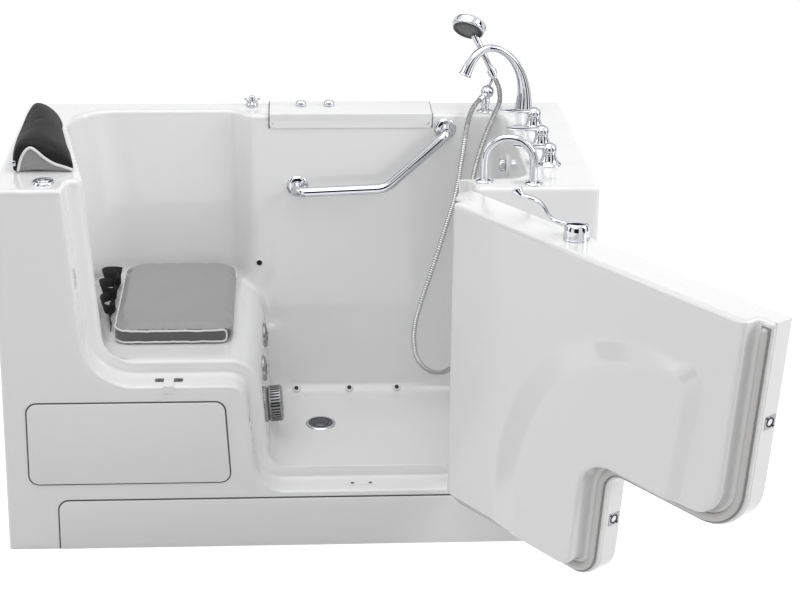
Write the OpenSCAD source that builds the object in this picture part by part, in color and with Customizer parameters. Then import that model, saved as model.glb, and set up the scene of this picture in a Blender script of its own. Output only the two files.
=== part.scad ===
// Walk-in bathtub: moulded seat tub on a steel frame, with an L-shaped door that
// swings outwards, a lever lock with two bolts, grab bars, taps and a hand shower.
// Origin: centre of the footprint at floor level. X runs along the tub, from the seat
// to the taps, Y from the door side to the wall, Z up. The door rests open.

/* [Tub] */
// Length of the tub
tub_l = 1524; // [1450:1:1650]
// Width of the tub, door side to wall side
tub_w = 762; // [740:1:820]
// Height of the deck above the floor
tub_h = 1000; // [980:1:1040]
// Thickness of the moulded shell
shell_t = 8; // [6:0.5:10]
// Depth of the turned-down edge of the deck
deck_lip = 45; // [35:1:60]
// Height of the foot well floor
floor_z = 148; // [140:1:156]
// Width of the deck on the tap side
right_deck = 172; // [165:1:185]
// Width of the deck on the wall side, behind the seat
seat_back_deck = 77; // [70:1:85]
// Width of the deck on the wall side, behind the foot well
well_back_deck = 127; // [120:1:135]
// Depth of the door side wall, outer face to foot well
front_wall_d = 84; // [80:1:90]
// Width of the left deck at the door side
left_deck_front = 219; // [210:1:225]
// Width of the left deck at the wall side
left_deck_back = 104; // [98:1:112]
// Plan radius of the seat's back corner
back_corner_r = 140; // [110:1:150]
// Radius where the foot well floor meets its walls
cove_r = 46; // [40:1:50]

/* [Door opening] */
// Width of the column left of the opening, measured at deck height
left_column = 174; // [170:1:182]
// Width of the column right of the opening, at the hinges
right_column = 317; // [310:1:322]
// Height of the ledge under the upper part of the opening
ledge_z = 463; // [455:1:470]
// Height of the sill under the lower part of the opening
sill_z = 157; // [154:1:162]
// Where the riser starts, measured at ledge height
riser_x = -138; // [-144:1:-132]
// Lean of the free side of the opening and of the riser, in degrees
lean = 5; // [4:0.25:6]
// Width of the step that the gasket seals on
step_w = 37; // [35:0.5:40]
// Large corner under the door's free end
corner_r = 130; // [115:1:140]
// Radius over the riser
nose_r = 45; // [40:1:55]
// Corner at the foot of the riser
low_r = 85; // [75:1:95]
// Corner at the foot of the hinge side
hinge_r = 60; // [52:1:70]

/* [Door] */
// Gap round the closed door
door_gap = 5; // [4.6:0.2:6]
// Wall of the two door mouldings
door_t = 4; // [3:0.5:5]
// Depth of the outer moulding
outer_d = 52; // [48:1:54]
// Thickness of the whole door
door_d = 105; // [100:1:110]
// Inset of the plug from the door's edge
plug_inset = 42; // [40:1:46]
// Width of the bulb gasket
gasket_w = 24; // [20:1:27]
// Height of the raised pad on the inner face
pad_h = 12; // [8:1:14]
// How far the door stands open at rest, in degrees
open_deg = 126; // [110:1:135]
// Radius of the hinge knuckles
knuckle_r = 7; // [6.5:0.25:7.5]
// Radius of the hinge pins
pin_r = 4; // [3:0.25:4.5]
// Height of each hinge
hinge_h = 84; // [70:2:100]
// Distance of the lock lever from the hinge line
lever_at = 404; // [390:1:420]
// Height of the upper bolt
upper_bolt_z = 756; // [745:1:770]
// Height of the lower bolt
lower_bolt_z = 331; // [322:1:340]
// Radius of the bolts
bolt_r = 8; // [7:0.5:9]
// Throw of the cranks that push the bolts
crank_r = 16; // [15:0.5:17]
// Length of the lock lever, from its shaft
lever_l = 206; // [180:1:220]

/* [Frame] */
// Side of the square frame tube
tube = 30; // [26:1:32]
// Wall of the frame tube
tube_t = 2; // [1.5:0.5:3]
// Height of the frame's underside above the floor
frame_z = 30; // [26:1:34]
// Radius of a foot pad
foot_r = 24; // [20:1:28]

/* [Seat cushion and pillow] */
// Cushion size along the tub
cushion_l = 330; // [310:1:340]
// Cushion size across the tub
cushion_w = 488; // [470:1:492]
// Cushion height at its edge
cushion_edge = 45; // [36:1:46]
// Rise of the cushion's middle above its edge
cushion_crown = 12; // [6:1:18]
// Gap between the foot of the backrest and the cushion
cushion_gap = 5; // [3:1:13]
// Length of the pillow
pillow_l = 370; // [340:1:390]
// Height of the pillow
pillow_h = 90; // [80:1:98]

/* [Fittings] */
// Diameter of the wall grab bar
bar_d = 28; // [25:1:32]
// Stand-off of the wall grab bar, wall to centre line
bar_off = 58; // [50:1:64]
// Diameter of the deck grab bar
deck_bar_d = 21; // [19:1:24]
// Diameter of the grab bar roses
rose_d = 62; // [54:1:66]
// Outside diameter of the waste pipe
waste_d = 48.3; // [46:0.1:50]
// Diameter of the waste strainer
strainer_d = 86; // [80:1:90]
// Diameter of the supply pipes
supply_d = 15; // [12:1:16]
// Height of the spout above the deck
spout_h = 204; // [190:1:215]
// Reach of the spout
spout_reach = 180; // [165:1:190]
// Length of a tap lever, from its stem
tap_lever_l = 98; // [80:1:104]
// Diameter of the hand shower's head
head_d = 98; // [90:1:104]
// Outside diameter of the shower hose
hose_d = 14; // [12:0.5:15]
// Diameter of a riser jet
jet_d = 70; // [62:1:74]
// Diameter of the suction cover
suction_d = 100; // [90:1:106]

/* [Hidden] */

$fn = 48;
fit_gap = 0.3;          // gap between curved faces of different bodies
run_gap = 0.05;         // radial play of a running fit
arc_n = 8;              // steps in a moulded corner
far = 3000;             // reach of a cutting block

left_x = -tub_l / 2;
right_x = tub_l / 2;
front_y = -tub_w / 2;
back_y = tub_w / 2;
open_left = left_x + left_column;
open_right = right_x - right_column;
well_x = right_x - right_deck;                // right wall of the foot well
wall_y = front_y + front_wall_d;              // inner face of the door side wall
step_y = wall_y - shell_t;                    // face that the gasket seals on
seat_z = ledge_z + step_w;
seat_back_y = back_y - seat_back_deck;
well_back_y = back_y - well_back_deck;
lean_k = tan(lean);
curve_x0 = -190;                              // the back wall steps in between
curve_x1 = -120;                              // these two places
section_x = -20;                              // joint of seat and well mouldings
section_z = tub_h - deck_lip - 5;             // joint of deck and lower mouldings

// ---- outlines ------------------------------------------------------------

function unit(v) = v / norm(v);
function corner_arc(a, b, c, r, n) =
    r <= 0 ? [b] :
    let (u = unit(a - b), v = unit(c - b), half = acos(u * v) / 2,
         m = b + unit(u + v) * r / sin(half), s = b + u * r / tan(half) - m,
         e = b + v * r / tan(half) - m, a0 = atan2(s[1], s[0]),
         turn = (atan2(e[1], e[0]) - a0 + 540) % 360 - 180)
    [for (i = [0:n]) m + r * [cos(a0 + turn * i / n), sin(a0 + turn * i / n)]];
// Outline with a radius at each corner; each corner is [x, y, radius]
function rounded(p, n = arc_n) = [for (i = [0:len(p) - 1])
    let (a = p[(i + len(p) - 1) % len(p)], b = p[i], c = p[(i + 1) % len(p)])
    each corner_arc([a[0], a[1]], [b[0], b[1]], [c[0], c[1]], b[2], n)];

function jamb_x(z) = open_left + (tub_h - z) * lean_k;
function riser_at(z) = riser_x + (ledge_z - z) * lean_k;
// Opening seen from the door side, grown by g, as [x, z] points
function opening(g, top = tub_h + deck_lip) =
    let (s = g / cos(lean), zl = ledge_z - g, zs = sill_z - g, hx = open_right + g)
    rounded([[jamb_x(top) - s, top, 0], [jamb_x(zl) - s, zl, corner_r + g],
        [riser_at(zl) - s, zl, nose_r - g], [riser_at(zs) - s, zs, low_r + g],
        [hx, zs, hinge_r + g], [hx, top, 0]]);

// Extrudes an [x, z] outline from y0 to y1
module wall_prism(points, y0, y1) {
    translate([0, y1, 0]) rotate([90, 0, 0]) linear_extrude(y1 - y0) polygon(points);
}
module block(a, b) {
    translate(a) cube(b - a);
}
// Closed form from rings with the same number of points, counter-clockwise seen from
// the last ring
module loft(rings) {
    n = len(rings[0]);
    m = len(rings);
    polyhedron([for (r = rings) each r], concat(
        [for (i = [0:m - 2], k = [0:n - 1]) let (a = i * n + k, b = i * n + (k + 1) % n)
            each [[a, a + n, b], [b, a + n, b + n]]],
        [[for (k = [0:n - 1]) k], [for (k = [n - 1:-1:0]) (m - 1) * n + k]]));
}
function at_z(points, z) = [for (q = points) [q[0], q[1], z]];
// Tube along a path in a plane across Y, or near it, with a radius for each point
function ring(p, i, r, sides) =
    let (n = len(p) - 1, t = unit(p[min(i + 1, n)] - p[max(i - 1, 0)]),
        u = unit(cross(t, [0, 1, 0])), v = cross(t, u))
    [for (k = [0:sides - 1]) p[i] + r * (cos(360 * k / sides) * u + sin(360 * k / sides) * v)];
module tube_along(p, r, sides) {
    loft([for (i = [0:len(p) - 1]) ring(p, i, r[i], sides)]);
}
function plan_rect(x0, x1, y0, y1, r) =
    rounded([[x0, y0, r], [x1, y0, r], [x1, y1, r], [x0, y1, r]]);
module bar_x(p, r, l) {
    translate(p) rotate([0, 90, 0]) cylinder(r = r, h = l);
}
module bar_y(p, r, l) {
    translate(p) rotate([-90, 0, 0]) cylinder(r = r, h = l);
}
module bar_z(p, r, l) {
    translate(p) cylinder(r = r, h = l);
}
// Straight round rod between two points
module rod(a, b, r) {
    d = b - a;
    l = norm(d);
    translate(a) rotate([0, acos(d[2] / l), atan2(d[1], d[0])]) cylinder(r = r, h = l);
}
// Rods along a list of points, with a ball at each bend; knee makes the ball larger
module rod_path(p, r, knee = 0) {
    for (i = [0:len(p) - 2]) rod(p[i], p[i + 1], r);
    for (i = [1:1:len(p) - 2]) translate(p[i]) sphere(r = r + knee);
}

// ---- tub shell -------------------------------------------------------------

seat_front_x = jamb_x(seat_z) + step_w + 6;   // foot of the backrest
recline = 43;                                 // the backrest leans out this far
well_r = 60;                                  // plan radius of the foot well corners

// The void's corner beside the opening is nearly square, so that the door's plug clears it
plug_corner_r = 2;
// Foot well: walls with a cove at the floor, riser leaning like the opening
function well_ring(g, in, z) =
    let (x0 = riser_at(z) + step_w - g / cos(lean) + in, x1 = well_x + g - in,
         y0 = wall_y - g + in, y1 = well_back_y + g - in, r = max(well_r + g - in, 12))
    at_z(rounded([[x0, y0, max(plug_corner_r + g - in, 2)], [x1, y0, r], [x1, y1, r],
        [x0, y1, r]]), z);
module well_void(g) {
    levels = 5;
    r = cove_r + g;
    loft(concat([for (i = [0:levels]) let (a = 90 * i / levels)
        well_ring(g, r * (1 - sin(a)), floor_z - g + r * (1 - cos(a)))],
        [well_ring(g, 0, tub_h + 1)]));
}
// Seat space: backrest slanted in plan and reclined
function seat_ring(g, x_f, x_b, z) = at_z(rounded([[x_f - g, wall_y - g, plug_corner_r + g],
    [curve_x0 + 1, wall_y - g, 0], [curve_x0 + 1, seat_back_y + g, 0],
    [x_b - g, seat_back_y + g, back_corner_r + g]]), z);
module seat_void(g) {
    x_b = left_x + left_deck_back;
    loft([seat_ring(g, seat_front_x, x_b + recline, seat_z - g),
        seat_ring(g, left_x + left_deck_front, x_b, tub_h + 1)]);
}
// Between them: the seat's front part, with the back wall curving in
module middle_void(g) {
    n = 10;
    curve = [for (i = [0:n]) let (u = i / n) [curve_x0 + (curve_x1 - curve_x0) * u + g,
        well_back_y + g + (seat_back_y - well_back_y) * (1 + cos(180 * u)) / 2]];
    translate([0, 0, seat_z - g]) linear_extrude(tub_h - seat_z + g + 1)
        polygon(concat([[curve_x0 - 1, wall_y - g], [curve_x0 - 1, seat_back_y + g]], curve,
            [[riser_x + 2 * step_w, well_back_y + g], [riser_x + 2 * step_w, wall_y - g]]));
}
// Rounded front edge of the seat
module nose_void(g) {
    r = nose_r + step_w;
    intersection() {
        wall_prism(opening(g - step_w), wall_y - g, well_back_y + g);
        block([riser_x - r, wall_y - g, seat_z - 1.6 * r],
            [riser_x + 2 * step_w, well_back_y + g, seat_z + 1]);
    }
}
module basin_void(g) {
    well_void(g);
    seat_void(g);
    middle_void(g);
    nose_void(g);
}
// Everything cut out of the block for the bather and the door, grown by g
module tub_void(g) {
    basin_void(g);
    wall_prism(opening(g), front_y - 50, step_y + g);
    wall_prism(opening(g - step_w), step_y - 1, wall_y + 1 - g);
}
module underside() {
    block([-far, front_y + deck_lip, -far], [far, far, tub_h - deck_lip]);
    block([left_x + shell_t, front_y + shell_t, -far],
        [right_x - shell_t, back_y - shell_t, tub_h - shell_t]);
}
module shell() {
    difference() {
        block([left_x, front_y, 0], [right_x, back_y, tub_h]);
        tub_void(0);
        difference() {
            underside();
            tub_void(shell_t);
        }
    }
}

// Openings for fittings that pass through the shell
module shell_holes() {
    bar_z([drain_x, drain_y, 0], drain_hole_r, floor_z + 20);
    bar_x([well_x - 5, overflow_y, overflow_z], overflow_hole_r, 30);
    for (y = jet_y) bar_x([riser_at(jet_z) - 20, y, jet_z], jet_hole_r, 80);
    bar_x([riser_at(suction_z) - 20, suction_y, suction_z], suction_hole_r, 80);
    for (y = tap_y) bar_z([tap_x, y, tub_h - 30], tap_hole_r, 60);
    bar_z([spout_x, spout_y, tub_h - 30], tap_hole_r, 60);
    bar_z([holder_x, holder_y, tub_h - 30], outlet_hole_r, 60);
    bar_z([star_x, star_y, tub_h - 30], knob_hole_r, 60);
    for (x = knob_x) bar_z([x, knob_y, tub_h - 30], knob_hole_r, 60);
    bar_z([button_x, button_y, tub_h - 30], button_hole_r, 60);
    for (p = bar_feet) bar_y([p[0], p[1] - 20, p[2]], bar_bolt_r, 60);
    for (p = deck_bar_feet) bar_z([p[0], p[1], tub_h - 30], bar_bolt_r, 60);
    bar_x([jamb_x(upper_bolt_z) - 30, bolt_y, upper_bolt_z - 1], bolt_r + 3, 40);
    bar_x([riser_at(lower_bolt_z) - 30, bolt_y, lower_bolt_z - 1], bolt_r + 3, 40);
}

module front_wall() {
    color("white") difference() {
        intersection() {
            shell();
            block([-far, -far, -far], [far, wall_y, far]);
        }
        shell_holes();
        // window behind the access panel
        wall_prism(panel_outline(-14), front_y - 5, front_y + shell_t + 5);
    }
}
module rim_deck() {
    color("white") difference() {
        intersection() {
            shell();
            block([-far, wall_y, section_z], [far, far, far]);
        }
        shell_holes();
    }
}
module seat_shell() {
    color("white") difference() {
        intersection() {
            shell();
            block([-far, wall_y, -far], [section_x, far, section_z]);
        }
        shell_holes();
    }
}
module well_shell() {
    color("white") difference() {
        intersection() {
            shell();
            block([section_x, wall_y, -far], [far, far, section_z]);
        }
        shell_holes();
    }
}

// ---- panels on the door side ---------------------------------------------------

panel_t = 4;
panel_seam = 1.5;
panel_left = left_x + 62;
panel_top = ledge_z - 45;
panel_bottom = 190;
panel_right_top = riser_x - 55;
panel_right_bottom = riser_x - 41;
panel_r = 26;
function panel_outline(g) = rounded([[panel_left - g, panel_bottom - g, panel_r + g],
    [panel_right_bottom + g, panel_bottom - g, panel_r + g],
    [panel_right_top + g, panel_top + g, panel_r + g],
    [panel_left - g, panel_top + g, panel_r + g]]);
toe_left = left_x + 135;
toe_right = right_x - 62;
toe_top = 139;
toe_t = 4;
module access_panel() {
    color("whitesmoke") wall_prism(panel_outline(0), front_y - panel_t, front_y);
}
module toe_panel() {
    color("whitesmoke") wall_prism(rounded([[toe_left, 0.5, 0], [toe_right, 0.5, 0],
        [toe_right, toe_top, panel_r], [toe_left, toe_top, panel_r]]),
        front_y - toe_t, front_y);
}

// ---- deck cover and controls -----------------------------------------------------

cover_x0 = well_x - 666;
cover_x1 = well_x - 208;
cover_t = 4;
cover_lip = 38;
knob_x = [cover_x0 + 89, cover_x0 + 169];
knob_y = back_y - 49;
knob_r = 15;
knob_h = 16;
knob_hole_r = 7;
star_x = cover_x0 - 50;
star_y = back_y - 35;
button_x = left_x + 123;
button_y = front_y + 59;
button_hole_r = 20;
module deck_cover() {
    color("white") difference() {
        union() {
            block([cover_x0, well_back_y - cover_t, tub_h], [cover_x1, back_y - 6, tub_h + cover_t]);
            block([cover_x0, well_back_y - cover_t, tub_h - cover_lip],
                [cover_x1, well_back_y, tub_h + cover_t]);
        }
        for (x = knob_x) bar_z([x, knob_y, tub_h - 30], knob_hole_r, 60);
    }
}
// Air control: a turning cap on a stem through the deck
module knob(x, y, z, r, h) {
    foot = tub_h - shell_t + 1;
    bar_z([x, y, foot], knob_hole_r - run_gap, z - foot + fit_gap);
    translate([x, y, z + fit_gap]) rotate_extrude() polygon([[0, 0], [r, 0], [r, h * 0.55],
        [r * 0.9, h * 0.8], [r * 0.72, h], [0, h]]);
}
module air_knob_left() {
    color("silver") knob(knob_x[0], knob_y, tub_h + cover_t, knob_r, knob_h);
}
module air_knob_right() {
    color("silver") knob(knob_x[1], knob_y, tub_h + cover_t, knob_r, knob_h);
}
// Diverter with a five-armed cap
module star_handle() {
    arms = 5;
    color("silver") {
        knob(star_x, star_y, tub_h, 17, 12);
        bar_z([star_x, star_y, tub_h + 12], 9, 10);
        for (i = [0:arms - 1]) translate([star_x, star_y, tub_h + 20])
            rotate([0, 0, 90 + 360 * i / arms]) {
                rotate([0, 90, 0]) cylinder(r = 4.5, h = 19);
                translate([19, 0, 0]) sphere(r = 5.5);
            }
        translate([star_x, star_y, tub_h + 22]) sphere(r = 9.5);
    }
}
// Round bezel and push button of the air system
module air_button_ring() {
    color("silver") translate([button_x, button_y, tub_h]) rotate_extrude()
        polygon([[17, -24], [button_hole_r, -24], [button_hole_r, 0], [28, 0], [28, 3],
            [25, 7], [17, 7]]);
}
module air_button() {
    color("gainsboro") translate([button_x, button_y, tub_h]) rotate_extrude()
        polygon([[0, -16], [17 - run_gap, -16], [17 - run_gap, 9], [14, 11], [0, 12]]);
}

// ---- frame ---------------------------------------------------------------------

rail_x = [left_x + 42, riser_x - 192, 0, right_x - 42];
well_rail_x = well_x - 240;
stub_y = 118;
seat_post_y = 100;
rail_front = front_y + shell_t + max(tube / 2, foot_r) + 2;
rail_back = back_y - 30;
module tube_x(x0, x1, y, z) {
    difference() {
        block([x0, y - tube / 2, z - tube / 2], [x1, y + tube / 2, z + tube / 2]);
        block([x0 - 1, y - tube / 2 + tube_t, z - tube / 2 + tube_t],
            [x1 + 1, y + tube / 2 - tube_t, z + tube / 2 - tube_t]);
    }
}
module tube_y(x, y0, y1, z) {
    difference() {
        block([x - tube / 2, y0, z - tube / 2], [x + tube / 2, y1, z + tube / 2]);
        block([x - tube / 2 + tube_t, y0 - 1, z - tube / 2 + tube_t],
            [x + tube / 2 - tube_t, y1 + 1, z + tube / 2 - tube_t]);
    }
}
module tube_z(x, y, z0, z1) {
    difference() {
        block([x - tube / 2, y - tube / 2, z0], [x + tube / 2, y + tube / 2, z1]);
        block([x - tube / 2 + tube_t, y - tube / 2 + tube_t, z0 - 1],
            [x + tube / 2 - tube_t, y + tube / 2 - tube_t, z1 + 1]);
    }
}
rail_z = frame_z + tube / 2;
well_under_z = floor_z - shell_t;
module base_frame() {
    x0 = rail_x[0] - tube / 2;
    x1 = rail_x[3] + tube / 2;
    color("slategray") {
        for (y = [rail_front, rail_back]) tube_x(x0, x1, y, rail_z);
        for (x = rail_x) tube_y(x, rail_front + tube / 2, rail_back - tube / 2, rail_z);
        tube_y(well_rail_x, rail_front + tube / 2, rail_back - tube / 2, rail_z);
        // stub posts under the foot well
        for (x = [rail_x[2], well_rail_x], y = [-stub_y, stub_y])
            tube_z(x, y, rail_z + tube / 2, well_under_z);
    }
}
post_x = [left_x + 42, right_x - 42];
deck_under_z = tub_h - shell_t;
module upper_frame() {
    top = deck_under_z - tube / 2;
    color("slategray") {
        for (x = post_x, y = [rail_front, rail_back])
            tube_z(x, y, rail_z + tube / 2, deck_under_z - tube);
        for (y = [rail_back]) tube_x(post_x[0] - tube / 2, post_x[1] + tube / 2, y, top);
        for (x = post_x) {
            tube_y(x, rail_front - tube / 2, rail_back - tube / 2, top);
        }
        // mid post and seat bearer
        tube_z(rail_x[1], rail_back, rail_z + tube / 2, deck_under_z - tube);
        tube_x(post_x[0] + tube / 2, rail_x[1] - tube / 2, rail_back,
            seat_z - shell_t - tube / 2 - 4);
        tube_z(rail_x[1], seat_post_y, rail_z + tube / 2, seat_z - shell_t);
    }
}
// Six feet under the rails and one at the origin, under the middle cross tube
foot_places = [for (x = [rail_x[0], rail_x[1], rail_x[3]], y = [rail_front, rail_back]) [x, y],
    [0, 0]];
module levelling_feet() {
    color("dimgray") for (p = foot_places) translate([p[0], p[1], 0]) {
        cylinder(r = foot_r, h = 8);
        cylinder(r = 6, h = frame_z);
        translate([0, 0, frame_z - 10]) cylinder(r = 11, h = 10, $fn = 6);
    }
}

// ---- waste and overflow ------------------------------------------------------------

drain_x = riser_x + 203;
drain_y = 38;
drain_hole_r = 30;
strainer_r = strainer_d / 2;
waste_z = 96;
waste_r = waste_d / 2;
trap_r = waste_r + 3;                         // before the free outlet
overflow_y = well_back_y - well_r - 35;        // the plate stays on the flat of the wall
overflow_z = tub_h - 120;
overflow_hole_r = 22;
overflow_r = 16;
overflow_x = well_x + shell_t + 34;
module waste_trap() {
    color("white") difference() {
        union() {
            bar_z([drain_x, drain_y, waste_z - 14], drain_hole_r + 7, well_under_z - waste_z + 14);
            bar_y([drain_x, drain_y, waste_z], trap_r, back_y - 50 - drain_y);
            bar_y([drain_x, drain_y, waste_z], waste_r, back_y - 10 - drain_y);
        }
        bar_z([drain_x, drain_y, waste_z - 10], drain_hole_r - 4, 60);
        bar_y([drain_x, drain_y, waste_z], waste_r - 4, far);
    }
}
module drain_strainer() {
    bars = 5;
    color("silver") difference() {
        union() {
            translate([drain_x, drain_y, floor_z]) rotate_extrude() polygon([[24, 0],
                [strainer_r, 0], [strainer_r - 4, 3], [24, 4]]);
            translate([drain_x, drain_y, floor_z - 16]) difference() {
                cylinder(r = drain_hole_r - 4, h = 17);
                translate([0, 0, -1]) cylinder(r = 24, h = 30);
            }
            // cross bars that carry the stopper's guide
            for (a = [0, 90]) translate([drain_x, drain_y, floor_z - 12]) rotate([0, 0, a])
                translate([-25, -2, -3]) cube([50, 4, 5]);
            bar_z([drain_x, drain_y, floor_z - 15], 7, 7);
        }
        bar_z([drain_x, drain_y, floor_z - 30], 3 + run_gap, 40);
    }
}
module drain_stopper() {
    color("silver") {
        translate([drain_x, drain_y, floor_z]) rotate_extrude() polygon([[0, -1], [22, -1],
            [23.5, 1], [23.5, 3.4], [18, 6], [0, 7]]);
        bar_z([drain_x, drain_y, floor_z - 34], 3, 36);
    }
}
module overflow_plate() {
    color("silver") difference() {
        bar_x([well_x - 6, overflow_y, overflow_z], 34, 6);
        bar_x([well_x - 10, overflow_y, overflow_z], 8 + run_gap, 20);
        for (a = [30, 150, 270]) translate([well_x - 10, overflow_y, overflow_z])
            rotate([a, 0, 0]) translate([0, -4, 19]) cube([20, 8, 8]);
    }
}
module drain_knob() {
    color("silver") {
        bar_x([well_x - 8, overflow_y, overflow_z], 8, 34);
        translate([well_x - 6 - fit_gap, overflow_y, overflow_z]) rotate([0, -90, 0])
            rotate_extrude() polygon([[0, 0], [15, 0], [18, 4], [18, 14], [14, 18], [0, 19]]);
        for (i = [0:2]) translate([well_x - 18, overflow_y, overflow_z])
            rotate([120 * i, 0, 0]) translate([0, 0, 18]) sphere(r = 4);
    }
}
module overflow_pipe() {
    x_in = well_x + shell_t;
    z_low = waste_z;
    color("white") difference() {
        union() {
            bar_x([x_in, overflow_y, overflow_z], overflow_hole_r + 8, 24);
            rod_path([[x_in + 20, overflow_y, overflow_z], [overflow_x, overflow_y, overflow_z],
                [overflow_x, overflow_y, z_low], [drain_x + waste_r, overflow_y, z_low]],
                overflow_r);
        }
        bar_x([x_in - 1, overflow_y, overflow_z], overflow_hole_r - 2, 20);
        // end cut to the curve of the waste pipe that it joins
        bar_y([drain_x, 0, waste_z], trap_r, back_y);
    }
}

// ---- water and air system -----------------------------------------------------------

jet_y = [wall_y + 212, well_back_y - 114];
jet_z = 378;
jet_r = jet_d / 2;
jet_hole_r = 24;
jet_shank = 34;
suction_y = wall_y + 265;
suction_z = 245;
suction_hole_r = 26;
suction_shank = 30;
suction_r = suction_d / 2;
// Point behind the riser's face, d along the face's normal
function behind(y, z, d) =
    [riser_at(z) + step_w - d * cos(lean), y, z - d * sin(lean)];
pump_x = left_x + 202;
pump_y = suction_y;                           // in line with the suction cover
pump_z = behind(suction_y, suction_z, suction_shank + 40)[2];
pump_r = 70;
blower_y = 200;
module water_pump() {
    tray_z = rail_z + tube / 2;
    color("dimgray") {
        bar_x([pump_x, pump_y, pump_z], pump_r, 190);
        for (i = [0:5]) bar_x([pump_x + 30 + 24 * i, pump_y, pump_z], pump_r + 5, 8);
        bar_x([pump_x + 190, pump_y, pump_z], pump_r + 14, 46);
        bar_x([pump_x + 236, pump_y, pump_z], 30, 26);
        bar_z([pump_x + 213, pump_y, pump_z], 24, pump_r + 34);
        block([pump_x + 20, pump_y - 50, tray_z + 6], [pump_x + 230, pump_y + 50, pump_z - 50]);
        // mounting tray across two frame tubes
        block([rail_x[0] - tube / 2, pump_y - 75, tray_z], [rail_x[1] + tube / 2, pump_y + 50,
            tray_z + 6]);
    }
}
module pump_pipes() {
    r = 20;
    pump_out = [pump_x + 213, pump_y, pump_z + pump_r + 34];
    header = behind(0, jet_z, jet_shank + 36);
    over = 30;                                // the header's ends pass the jets
    bend = behind(suction_y, suction_z, suction_shank + 40);
    color("whitesmoke") {
        // suction line, with a collar where it levels out
        rod(behind(suction_y, suction_z, suction_shank), bend, r);
        bar_x(bend - [16, 0, 0], r + 6, 32);
        bar_x([pump_x + 262, pump_y, pump_z], r, bend[0] - pump_x - 272);
        // pressure line and the header behind the jets
        rod_path([pump_out, [pump_out[0], pump_y, header[2]], [header[0], pump_y, header[2]]],
            r - 2, 4);
        bar_y([header[0], jet_y[0] - over, header[2]], r, jet_y[1] - jet_y[0] + 2 * over);
        for (y = jet_y) rod(behind(y, jet_z, jet_shank), behind(y, jet_z, jet_shank + 34), r - 4);
    }
}
module air_blower() {
    tray_z = rail_z + tube / 2;
    x = pump_x + 70;
    color("dimgray") {
        bar_z([x, blower_y, tray_z + 6], 72, 96);
        bar_z([x, blower_y, tray_z + 102], 46, 40);
        bar_x([x, blower_y + 46, tray_z + 60], 22, 110);
        block([rail_x[0] - tube / 2, blower_y - 80, tray_z], [rail_x[1] + tube / 2,
            blower_y + 80, tray_z + 6]);
    }
}
module air_pipes() {
    r = 13;
    y0 = blower_y + 46;
    z0 = rail_z + tube / 2 + 60;
    z1 = floor_z + 26;
    y1 = well_back_y + shell_t + r + 6;
    x0 = pump_x + 180;
    color("whitesmoke") {
        rod_path([[x0, y0, z0], [x0 + 60, y0, z0], [x0 + 100, y1, z1], [cover_x1 - 60, y1, z1]], r, 2);
    }
}
// Bezels of the two jets in the riser, tilted with it
module on_riser(y, z) {
    translate([riser_at(z) + step_w, y, z]) rotate([0, 90 - lean, 0])
        children();
}
module jet_rings() {
    color("gainsboro") for (y = jet_y) on_riser(y, jet_z) rotate_extrude() polygon([
        [18, -jet_shank], [jet_hole_r - 1, -jet_shank], [jet_hole_r - 1, 0], [jet_r, 0], [jet_r, 3],
        [jet_r - 5, 8], [22, 8], [18, 5]]);
}
module jet_nozzle(y) {
    on_riser(y, jet_z) rotate_extrude() polygon([[6, -22], [18 - run_gap, -22],
        [18 - run_gap, 4], [14, 9], [8, 7], [6, 3]]);
}
module jet_nozzle_front() {
    color("silver") jet_nozzle(jet_y[0]);
}
module jet_nozzle_back() {
    color("silver") jet_nozzle(jet_y[1]);
}
module suction_cover() {
    slots = 24;
    color("silver") on_riser(suction_y, suction_z) {
        difference() {
            rotate_extrude() polygon([[0, 0], [suction_r - 6, 0], [suction_r, 4],
                [suction_r, 36], [suction_r - 5, 40], [0, 42]]);
            for (i = [0:slots - 1]) rotate([0, 0, 360 * i / slots])
                translate([suction_r - 5, -2.5, 8]) cube([12, 5, 26]);
        }
        translate([0, 0, -suction_shank]) cylinder(r = suction_hole_r - 1, h = suction_shank + 1);
    }
}
// Small air jets: in the cove behind the feet, beside the riser jets and on the walls
air_jet_r = 12;
cove_jet_x = [drain_x - 68, drain_x + 88, drain_x + 228];
module air_jets() {
    // a flat jet whose rim touches the hollow of the cove
    d = sqrt(pow(cove_r * cos(9), 2) - pow(air_jet_r, 2)) * sin(45);
    color("silver") {
        for (x = cove_jet_x) translate([x, well_back_y - cove_r + d, floor_z + cove_r - d])
            rotate([45, 0, 0]) cylinder(r = air_jet_r, h = 5);
        for (y = jet_y) on_riser(y + jet_r + 11, jet_z - 8) cylinder(r = 8, h = 4);
        bar_y([curve_x1 + air_jet_r, well_back_y - 4, 556], air_jet_r, 4);
    }
}

// ---- door hardware on the tub ----------------------------------------------------------

axis_x = open_right - door_gap / 2;
axis_y = front_y - knuckle_r - 1;
hinge_z = [sill_z + 93, tub_h - 455, tub_h - 150];
leaf_t = 2;
leaf_d = 44;
third = hinge_h / 3;
catch_x = [(open_left + riser_x) / 2 + 27, open_right - 279];
module catch(x, z) {
    y = front_y + 40;
    block([x - 36, y - 9, z], [x + 36, y + 9, z + 1.6]);
    block([x - 10, y - 8, z], [x + 10, y + 6, z + 4]);
    for (s = [-1, 1]) bar_z([x + s * 24, y, z], 5, 3.4);
}
module door_catches() {
    color("gainsboro") {
        catch(catch_x[0], ledge_z);
        catch(catch_x[1], sill_z);
    }
}
bolt_y = front_y + outer_d / 2;
keeper_h = 46;
module keeper(x, z) {
    translate([x, bolt_y, z]) rotate([0, -lean, 0]) difference() {
        translate([0, -14, -keeper_h / 2]) cube([1.5, 28, keeper_h]);
        bar_x([-5, 0, 0], bolt_r + 1.5, 20);
    }
}
module bolt_keepers() {
    color("silver") {
        keeper(jamb_x(upper_bolt_z), upper_bolt_z);
        keeper(riser_at(lower_bolt_z), lower_bolt_z);
    }
}
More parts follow.
